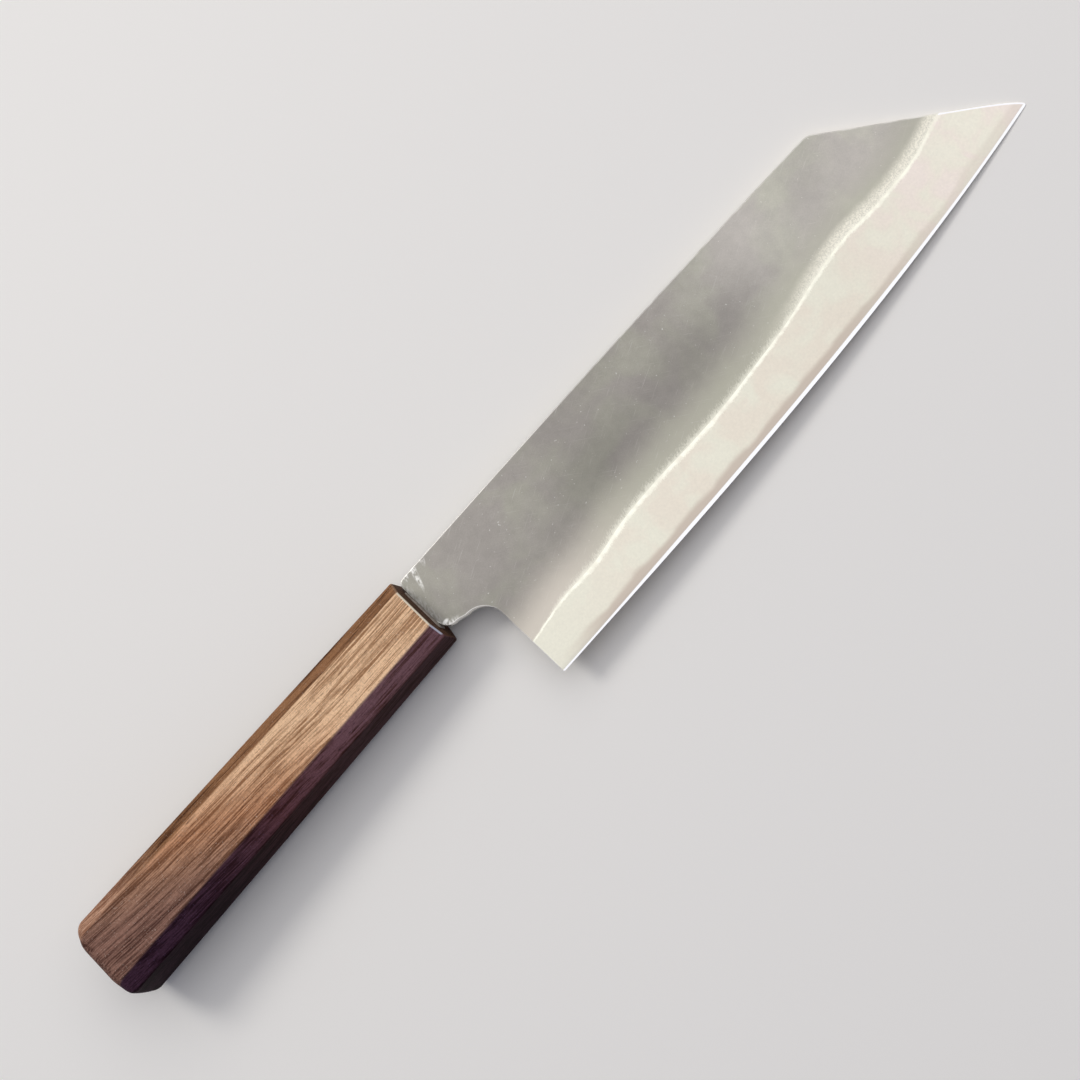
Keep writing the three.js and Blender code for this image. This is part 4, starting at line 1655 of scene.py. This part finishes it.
@dataclass(frozen=True)
class WalnutFinish(Finish):
    """Straight-grained walnut, planed to an octagon, smoothed with sandpaper and oiled.

    Tan near the front and red-brown at the butt, partly the wood's own colour and partly painted sheen
    and light that fall off towards the butt, in long streaks a millimetre or so apart, with short dark
    pores where the vessels are cut open, pale flecks and a fine speckle. The bevels carry painted light
    and shade of their own, and the front chamfer a painted highlight. The end grain drinks the oil and
    goes dark. A turn runs across the bar from one of its ridges.
    """

    name: str = "oiled_walnut"
    # Front colours: the wood's tone with a painted sheen. Butt colours: the wood's tone with painted shade
    # where the light falls off.
    front_tone_and_sheen_dark: str = "#a97c57"
    front_tone_and_sheen_light: str = "#ffd3a6"
    butt_tone_and_shade_dark: str = "#573a31"
    butt_tone_and_shade_light: str = "#987160"
    amber: str = "#ffe8d9"
    # Painted light and shade on the spine's bevel: darker than the main facet at the front, lighter at the
    # butt.
    spine_shading_dark: str = "#4f2e1a"
    spine_shading_light: str = "#a1734f"
    spine_butt_shading_dark: str = "#96684e"
    spine_butt_shading_light: str = "#d8a98a"
    # Painted shade: cool, dark tints for the facets past the edge's ridge, stronger at the butt, and for the
    # lowest facet.
    edge_shade_tint: str = "#9584ad"
    butt_edge_shade_tint: str = "#8e81bc"
    belly_shade_tint: str = "#b6b4aa"
    pore: str = "#4c2f24"
    fleck: str = "#d9c3b0"
    # Painted highlight on the front chamfer, and a cool painted glint where it meets the edge's bevel.
    chamfer: str = "#fff2d6"
    glint: str = "#efedf6"
    end: str = "#795942"
    roughness: float = 0.52
    ior: float = 1.47
    # Oil soaks in and leaves next to no gloss; the sheen on the main facets is painted into the colour
    # instead.
    gloss: float = 0.02
    relief_strength: float = 0.35
    relief_depth: float = 0.06

    # Grain: the bar was sawn across a slow curve of the trunk, and drops by bow x^2 on its way to the butt.
    bow: float = 4.6e-4
    warp: Pattern = Pattern(50.0, 0.7, 1.0)
    warp_reach: Triple = (0.0, 3.0, 3.0)
    band: Streaks = Streaks((45.0, 2.6, 5.0), Pattern(1.0, 1.1, 2.0, 0.62))
    streak: Streaks = Streaks((36.0, 0.42, 0.9), Pattern(1.0, 4.6, 5.0, 0.62))
    # Fibres and vessels are some 0.1 mm across. They are drawn at 0.25 mm, so that they show.
    fibre: Streaks = Streaks((7.0, 0.25, 0.4), Pattern(1.0, 8.2, 3.0, 0.62))
    vessel: Streaks = Streaks((3.0, 0.26, 0.4), Pattern(1.0, 2.3, 2.0, 0.62))

    # Tone between dark and light: a middle, and the weight of each layer. Streaks count more in dark bands.
    middle_tone: float = 0.52
    band_weight: float = 3.0
    fibre_weight: float = 3.4
    streak_weight: Ramp = Ramp(0.4, 0.6, 5.8, 2.6)
    ridge_tone: Ramp = Ramp(0.5, 4.0, -0.16, 0.18)

    # From butt to front: partly the wood's own tone, and partly painted sheen and light that fall off
    # towards the butt and away from the spine. A millimetre across, above the lowest height that counts,
    # is worth as many along the bar as lean says.
    tone_and_light_reach: Ramp = Ramp(-110.0, -30.0)
    lean: float = 2.2
    lean_floor: float = -5.0
    butt_reach: Ramp = Ramp(-82.0, -112.0)

    # Turns into the painted light and shade of the spine's bevel, of the edge's bevel and of the lowest
    # facet.
    spine_shading_turn: Ramp = Ramp(-0.2, 0.5)
    edge_shade_turn: Ramp = Ramp(-0.2, 0.5)
    belly_shade_turn: Ramp = Ramp(3.3, 3.9)
    pore_patch: Ramp = Ramp(0.6, 0.7)
    pore_strength: float = 0.6
    flecks: Pattern = Pattern(0.3, 7.4, 1.0)
    fleck_patch: Ramp = Ramp(0.62, 0.76, 0.0, 0.4)
    speckle: Pattern = Pattern(0.4, 5.8, 2.0)
    speckle_shade: Ramp = Ramp(0.3, 0.7, 0.82, 1.18, smooth=False)

    # Ends: a painted highlight on the front chamfer, kept off the spine's bevel, with a cool painted glint
    # on the edge side.
    chamfer_highlight_reach: Ramp = Ramp(-0.46, -0.34, 0.0, 0.95)
    chamfer_highlight_spine_turn: Ramp = Ramp(0.4, -0.4, 0.1, 1.0)
    chamfer_highlight_edge_turn: Ramp = Ramp(3.3, 2.7)
    glint_turn: Ramp = Ramp(-0.3, 0.5)
    dots: Pattern = Pattern(0.4, 3.9, 2.0)
    dot_patch: Ramp = Ramp(0.35, 0.65)

    def material(self) -> Material:
        """Lay the finish on: wood, pores and flecks, tints, speckle and ends, with the fibres in relief.

        Returns:
            The material.
        """
        add, place, along = self.ground
        band, streak, fibre, vessel = self.layers()
        # Share of the front's colours, which carry painted sheen and light falloff as well as the wood's
        # tone.
        across = add("Math", EITHER, {0: along.node.outputs["Y"], 1: self.lean_floor})
        leaning = add("Math", TIMES_PLUS, {0: across, 1: self.lean, 2: along})
        front = add("MapRange", *self.tone_and_light_reach.over(leaning))
        colour = self.wood(front, self.tone(front, band, streak, fibre))
        pores = add("MapRange", *self.pore_patch.over(vessel))
        shown = add("Math", TIMES, {0: pores, 1: self.pore_strength})
        flecks = add("TexNoise", *self.flecks.over(place))
        flecks = add("MapRange", *self.fleck_patch.over(flecks))
        for share, spot in ((shown, self.pore), (flecks, self.fleck)):
            colour = add("Mix", BLEND, {0: share, 6: colour, 7: linear(spot)}, 2)
        # Painted shade on the facets past the edge's ridge.
        colour = self.shade_lower_facets(front, colour)
        speckle = add("TexNoise", *self.speckle.over(place))
        speckle = add("MapRange", *self.speckle_shade.over(speckle))
        colour = add("VectorMath", SCALED, {"Vector": colour, "Scale": speckle})
        relief = add("Math", MINUS, {0: fibre, 1: pores})
        bump = {"Strength": self.relief_strength, "Distance": self.relief_depth / MM, "Height": relief}
        inputs = {"Base Color": self.ends(colour), "Normal": add("Bump", {}, bump)}
        shine = {"Roughness": self.roughness, "IOR": self.ior, "Specular IOR Level": self.gloss}
        return self.laid({**inputs, **shine})

    def layers(self) -> list[Socket]:
        """Layers of the grain, stretched along the bar, warped a little and dropping by bow x^2.

        Returns:
            Growth bands, streaks, fibres and vessels.
        """
        add, place, along = self.ground
        warp = add("TexNoise", *self.warp.over(place), "Color")
        warp = add("VectorMath", MINUS, {0: warp, 1: (0.5, 0.5, 0.5)})
        warp = add("VectorMath", TIMES, {0: warp, 1: self.warp_reach})
        drop = add("Math", TIMES, {0: along, 1: along})
        drop = add("Math", TIMES, {0: drop, 1: -self.bow})
        drop = add("CombineXYZ", {}, {"Y": drop})
        bent = add("VectorMath", PLUS, {0: place, 1: warp})
        bent = add("VectorMath", PLUS, {0: bent, 1: drop})
        layers = []
        for streaks in (self.band, self.streak, self.fibre, self.vessel):
            drawn = add("Mapping", *streaks.drawn(bent))
            layers.append(add("TexNoise", *streaks.fill.over(drawn)))
        return layers

    def tone(self, front: Socket, band: Socket, streak: Socket, fibre: Socket) -> Socket:
        """Tone of the wood: its middle tone and the swing of each layer times its weight.

        Near the front the tone also rises from the middle of a facet towards its ridges.

        Args:
            front: Share of the front's colours.
            band: Growth bands.
            streak: Streaks.
            fibre: Fibres.

        Returns:
            The tone, from 0 for dark to 1 for light.
        """
        add, _, along = self.ground
        swing = add("Math", MINUS, {0: streak, 1: 0.5})
        weight = add("MapRange", *self.streak_weight.over(band))
        base = self.middle_tone - 0.5 * (self.band_weight + self.fibre_weight)
        tone = add("Math", TIMES_PLUS, {0: swing, 1: weight, 2: base})
        for layer, share in ((band, self.band_weight), (fibre, self.fibre_weight)):
            tone = add("Math", TIMES_PLUS, {0: layer, 1: share, 2: tone})
        off = add("Math", ABSOLUTE, {0: along.node.outputs["Y"]})
        ridge = add("MapRange", *self.ridge_tone.over(off))
        return add("Math", {**TIMES_PLUS, "use_clamp": True}, {0: ridge, 1: front, 2: tone})

    def wood(self, front: Socket, tone: Socket) -> Socket:
        """Colours of the long grain: from dark to light by tone, with painted shade and light past the
        spine's ridge.

        Args:
            front: Share of the front's colours.
            tone: Tone of the wood.

        Returns:
            The colour.
        """
        add, _, along = self.ground
        butt = add("MapRange", *self.butt_reach.over(along))
        shades = []
        for share, first, last in (
            (front, self.butt_tone_and_shade_dark, self.front_tone_and_sheen_dark),
            (front, self.butt_tone_and_shade_light, self.front_tone_and_sheen_light),
            (butt, self.spine_shading_dark, self.spine_butt_shading_dark),
            (butt, self.spine_shading_light, self.spine_butt_shading_light),
        ):
            shades.append(add("Mix", BLEND, {0: share, 6: linear(first), 7: linear(last)}, 2))
        dark, light, spine_shading_dark, spine_shading_light = shades
        colour = add("Mix", BLEND, {0: tone, 6: dark, 7: light}, 2)
        middle = add("Math", {"operation": "PINGPONG"}, {0: front, 1: 0.5})
        middle = add("Math", TIMES, {0: middle, 1: 2.0})
        colour = add("Mix", TINT, {0: middle, 6: colour, 7: linear(self.amber)}, 2)
        # Painted light and shade past the spine's ridge.
        past = add("Attribute", {"attribute_name": "past_spine_ridge"}, {}, "Fac")
        spine = add("MapRange", *self.spine_shading_turn.over(past))
        shaded = add("Mix", BLEND, {0: tone, 6: spine_shading_dark, 7: spine_shading_light}, 2)
        return add("Mix", BLEND, {0: spine, 6: colour, 7: shaded}, 2)

    def shade_lower_facets(self, front: Socket, colour: Socket) -> Socket:
        """Painted shade, darker and cooler, on the facets past the edge's ridge, and a further step on the
        lowest one.

        Args:
            front: Share of the front's colours.
            colour: Colour without the tints.

        Returns:
            The colour with them.
        """
        add, _, _ = self.ground
        past = add("Attribute", {"attribute_name": "past_edge_ridge"}, {}, "Fac")
        lower = add("MapRange", *self.edge_shade_turn.over(past))
        tint = add("Mix", BLEND, {0: front, 6: linear(self.butt_edge_shade_tint), 7: linear(self.edge_shade_tint)}, 2)
        colour = add("Mix", TINT, {0: lower, 6: colour, 7: tint}, 2)
        belly = add("MapRange", *self.belly_shade_turn.over(past))
        return add("Mix", TINT, {0: belly, 6: colour, 7: linear(self.belly_shade_tint)}, 2)

    def ends(self, colour: Socket) -> Socket:
        """Painted highlight on the front chamfer, and the dark end grain inside it.

        Args:
            colour: Colour of the long grain.

        Returns:
            The colour with both.
        """
        add, place, along = self.ground
        cut = add("Attribute", {"attribute_name": "end_grain"}, {}, "Fac")
        spine = add("Attribute", {"attribute_name": "past_spine_ridge"}, {}, "Fac")
        edge = add("Attribute", {"attribute_name": "past_edge_ridge"}, {}, "Fac")
        # Painted highlight on the chamfer, kept off the spine's bevel and the lowest facet.
        chamfer_highlight = add("MapRange", *self.chamfer_highlight_reach.over(along))
        chamfer_highlight = self.faded(chamfer_highlight, (self.chamfer_highlight_spine_turn, spine), (self.chamfer_highlight_edge_turn, edge))
        lower = add("MapRange", *self.glint_turn.over(edge))
        bright = add("Mix", BLEND, {0: lower, 6: linear(self.chamfer), 7: linear(self.glint)}, 2)
        colour = add("Mix", BLEND, {0: chamfer_highlight, 6: colour, 7: bright}, 2)
        dots = add("TexNoise", *self.dots.over(place))
        dots = add("MapRange", *self.dot_patch.over(dots))
        end = add("Mix", BLEND, {0: dots, 6: linear(self.pore), 7: linear(self.end)}, 2)
        return add("Mix", BLEND, {0: cut, 6: colour, 7: end}, 2)


@dataclass(frozen=True)
class ResinFinish(Finish):
    """Cast resin, set without polishing: a soft gloss with faint clouds from mixing."""

    colour: str
    cloud: str
    roughness: float
    ior: float = 1.5
    clouds: Pattern = Pattern(0.9, None, 3.0)
    cloud_patch: Ramp = Ramp(0.35, 0.65)

    def material(self) -> Material:
        """Lay the finish on.

        Returns:
            The material.
        """
        add, place, _ = self.ground
        cloud = add("TexNoise", *self.clouds.over(place))
        patch = add("MapRange", *self.cloud_patch.over(cloud))
        shown = add("Mix", BLEND, {0: patch, 6: linear(self.colour), 7: linear(self.cloud)}, 2)
        return self.laid({"Base Color": shown, "Roughness": self.roughness, "IOR": self.ior})


@dataclass(frozen=True)
class Panel:
    """Square soft light.

    The way to it is in the knife's axes, distance and size are in metres, and radiance is the brightness
    of its face, where 1 is white.
    """

    name: str
    way: Triple
    distance: float
    size: float
    radiance: float


@dataclass(frozen=True)
class Studio:
    """Pale floor and round backdrop, soft lights and the camera.

    The camera's place and the aims of camera and lights are in the knife's axes, in millimetres. Other
    sizes are in metres.
    """

    # The camera was fitted to the object's outline: place, aim, roll in degrees and lens on a 36 mm frame.
    camera_place: Triple = (100.2919, -186.1869, 593.18)
    camera_aim: Triple = (31.9053, -9.9316, 0.0)
    camera_roll: float = 48.4683
    lens: float = 86.67
    sensor: float = 36.0
    clip_range: tuple[float, float] = (0.01, 100.0)
    floor_size: float = 40.0
    floor_level: float = -2e-5
    # Up to the start the floor shows its own colour, past the end the backdrop's.
    floor_fade: Ramp = Ramp(0.26, 0.75)
    floor_colour: str = "#fffaf0"
    floor_bounce: str = "#363b50"
    floor_roughness: float = 0.9
    backdrop_colour: str = "#dedcda"
    wall_radius: float = 2.0
    wall_height: float = 1.3
    wall_facets: int = 96
    ambient: tuple[float, float, float, float] = (0.16, 0.175, 0.24, 1.0)
    lights_aim: Triple = (40.0, -5.0, 0.0)
    panels: tuple[Panel, ...] = (
        Panel("overhead", (0.22, 0.26, 0.94), 1.1, 1.9, 0.85),
        Panel("key", (-0.32, 0.63, 0.707), 1.4, 0.42, 9.0),
    )

    def camera(self, rest: RestFrame) -> Object:
        """Add the camera: it looks at its aim, rolled until the knife has its slant in the picture.

        With back pointing from the aim to the camera, x the knife's axis made square to it and y = back
        cross x, the picture's right is cos(roll) x - sin(roll) y, and up is sin(roll) x + cos(roll) y.

        Args:
            rest: Frame of the knife.

        Returns:
            The camera.
        """
        place = np.asarray(self.camera_place)
        back = place - np.asarray(self.camera_aim)
        back = back / np.linalg.norm(back)
        along = np.array([1.0, 0.0, 0.0]) - back * back[0]
        along = along / np.linalg.norm(along)
        across = np.cross(back, along)
        roll = math.radians(self.camera_roll)
        right = math.cos(roll) * along - math.sin(roll) * across
        up = math.sin(roll) * along + math.cos(roll) * across
        data = bpy.data.cameras.new("camera")
        data.lens = self.lens
        data.sensor_width = self.sensor
        data.clip_start, data.clip_end = self.clip_range
        axes = rest.turn() @ np.stack([right, up, back], axis=1)
        camera = put("camera", data, axes, rest.lay(place))
        bpy.context.scene.camera = camera
        return camera

    def panel(self, rest: RestFrame, panel: Panel) -> Object:
        """Add a soft light that faces the lights' aim. Its power is radiance times pi times its area.

        Args:
            rest: Frame of the knife.
            panel: The light.

        Returns:
            Its object.
        """
        data = bpy.data.lights.new(panel.name, "AREA")
        data.size = panel.size
        data.energy = panel.radiance * math.pi * panel.size**2
        way = rest.turn() @ (np.asarray(panel.way) / np.linalg.norm(panel.way))
        side = np.cross([0.0, 1.0, 0.0], way)
        side = side / np.linalg.norm(side)
        axes = np.stack([side, np.cross(way, side), way], axis=1)
        return put(panel.name, data, axes, rest.lay(np.array(self.lights_aim)) + panel.distance * way)

    def seen_share(self, tree: Tree) -> Socket:
        """1 for rays that show a surface, straight, in gloss or through glass, and 0 for the rest."""
        path = tree.nodes.new("ShaderNodeLightPath").outputs
        seen = add_node(tree, "Math", EITHER, {0: path["Is Camera Ray"], 1: path["Is Glossy Ray"]})
        return add_node(tree, "Math", EITHER, {0: seen, 1: path["Is Transmission Ray"]})

    def floor(self) -> Object:
        """Add the pale floor, which throws back less light than it shows and fades to the backdrop.

        Returns:
            The floor.
        """
        half = self.floor_size / 2
        mesh = bpy.data.meshes.new("floor")
        level = self.floor_level
        corners = [(-half, -half, level), (half, -half, level), (half, half, level), (-half, half, level)]
        mesh.from_pydata(corners, [], [(0, 1, 2, 3)])
        finish = bpy.data.materials.new("pale_floor")
        finish.use_nodes = True
        tree = finish.node_tree
        add = partial(add_node, tree)
        seen = self.seen_share(tree)
        shown = add("Mix", BLEND, {0: seen, 6: linear(self.floor_bounce), 7: linear(self.floor_colour)}, 2)
        place = add("TexCoord", {}, {}, "Object")
        distance = add("VectorMath", LENGTH, {0: place}, "Value")
        far = add("MapRange", *self.floor_fade.over(distance))
        shown = add("Mix", BLEND, {0: far, 6: shown, 7: BLACK}, 2)
        glow = add("Math", TIMES, {0: far, 1: seen})
        lit = {"Emission Color": linear(self.backdrop_colour), "Emission Strength": glow}
        dull = {"Roughness": self.floor_roughness, "Specular IOR Level": 0.0}
        feed(tree.nodes["Principled BSDF"], {"Base Color": shown, **lit, **dull})
        finish.cycles.emission_sampling = "NONE"
        mesh.materials.append(finish)
        floor = put("floor", mesh)
        return floor

    def wall(self) -> Object:
        """Add the round backdrop: it shows its own colour, and lights the object like the world behind.

        Its two rims are circles (R cos t, R sin t), on the floor and at its height.

        Returns:
            The backdrop.
        """
        count = self.wall_facets
        turn = np.arange(count) * (2 * math.pi / count)
        low = np.stack([np.cos(turn), np.sin(turn), np.zeros(count)], axis=1) * self.wall_radius
        points = np.concatenate([low, low + [0.0, 0.0, self.wall_height]])
        first = np.arange(count)
        after = (first + 1) % count
        mesh = bpy.data.meshes.new("backdrop")
        faces = np.stack([first, first + count, after + count, after], axis=1)
        mesh.from_pydata(points.tolist(), [], faces.tolist())
        finish = bpy.data.materials.new("pale_backdrop")
        finish.use_nodes = True
        tree = finish.node_tree
        colours = {6: self.ambient, 7: linear(self.backdrop_colour)}
        shown = add_node(tree, "Mix", BLEND, {0: self.seen_share(tree), **colours}, 2)
        lit = {"Emission Color": shown, "Emission Strength": 1.0}
        feed(tree.nodes["Principled BSDF"], {"Base Color": BLACK, "Specular IOR Level": 0.0, **lit})
        finish.cycles.emission_sampling = "NONE"
        mesh.materials.append(finish)
        wall = put("backdrop", mesh)
        return wall

    def sky(self) -> None:
        """Set the world: an even ambient light."""
        world = bpy.data.worlds.new("studio")
        bpy.context.scene.world = world
        world.use_nodes = True
        background = world.node_tree.nodes["Background"]
        background.inputs["Color"].default_value = self.ambient
        background.inputs["Strength"].default_value = 1.0

    def build(self, rest: RestFrame) -> None:
        """Set up the camera, the floor, the backdrop, the world and the lights."""
        self.camera(rest)
        self.floor()
        self.wall()
        self.sky()
        for panel in self.panels:
            self.panel(rest, panel)
        bpy.context.scene.view_settings.view_transform = "Standard"


def dress(piece: Object, finish: Material, node: str) -> None:
    """Give a piece its finish and its place: it rides on the body and stands for a node.

    Args:
        piece: The piece.
        finish: Its material.
        node: Node that it stands for.
    """
    piece.data.materials.clear()
    piece.data.materials.append(finish)
    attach(piece, "root")
    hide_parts(node)
    LOG.info("%s: %d faces", piece.name, len(piece.data.polygons))


def main() -> None:
    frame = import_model()
    rest = RestFrame.from_record(frame["record"], MOUNT_STATION)
    Studio().build(rest)
    skin = BladeSkin(BladeForm())
    handle = HandleForm()
    cladding = CladdingFinish(rest).material()
    core = CoreFinish(rest).material()
    walnut = WalnutFinish(rest).material()
    seal = ResinFinish(rest, "clouded_seal_resin", "#a99c8c", "#8d8072", 0.45).material()
    resin = ResinFinish(rest, "poured_bedding_resin", "#2e2621", "#3a3029", 0.3).material()
    right = skin.cladding(Side.RIGHT)
    left = skin.cladding(Side.LEFT)
    dress(skin.core().make("ground_core", rest, CRISP), core, "core_steel")
    dress(right.make("right_clad_face", rest, CRISP), cladding, "right_cladding")
    dress(left.make("left_clad_face", rest, CRISP), cladding, "left_cladding")
    dress(handle.bar().make("octagonal_handle", rest, CRISP), walnut, "handle")
    dress(handle.seal().make("seal_bead", rest, BEAD_CRISP), seal, "mouth_seal")
    bedding = frame["nodes"]["tang_bedding"]
    bedding.data.materials.clear()
    bedding.data.materials.append(resin)


if __name__ == "__main__":
    logging.basicConfig(level=logging.INFO, format="%(name)s: %(message)s")
    main()
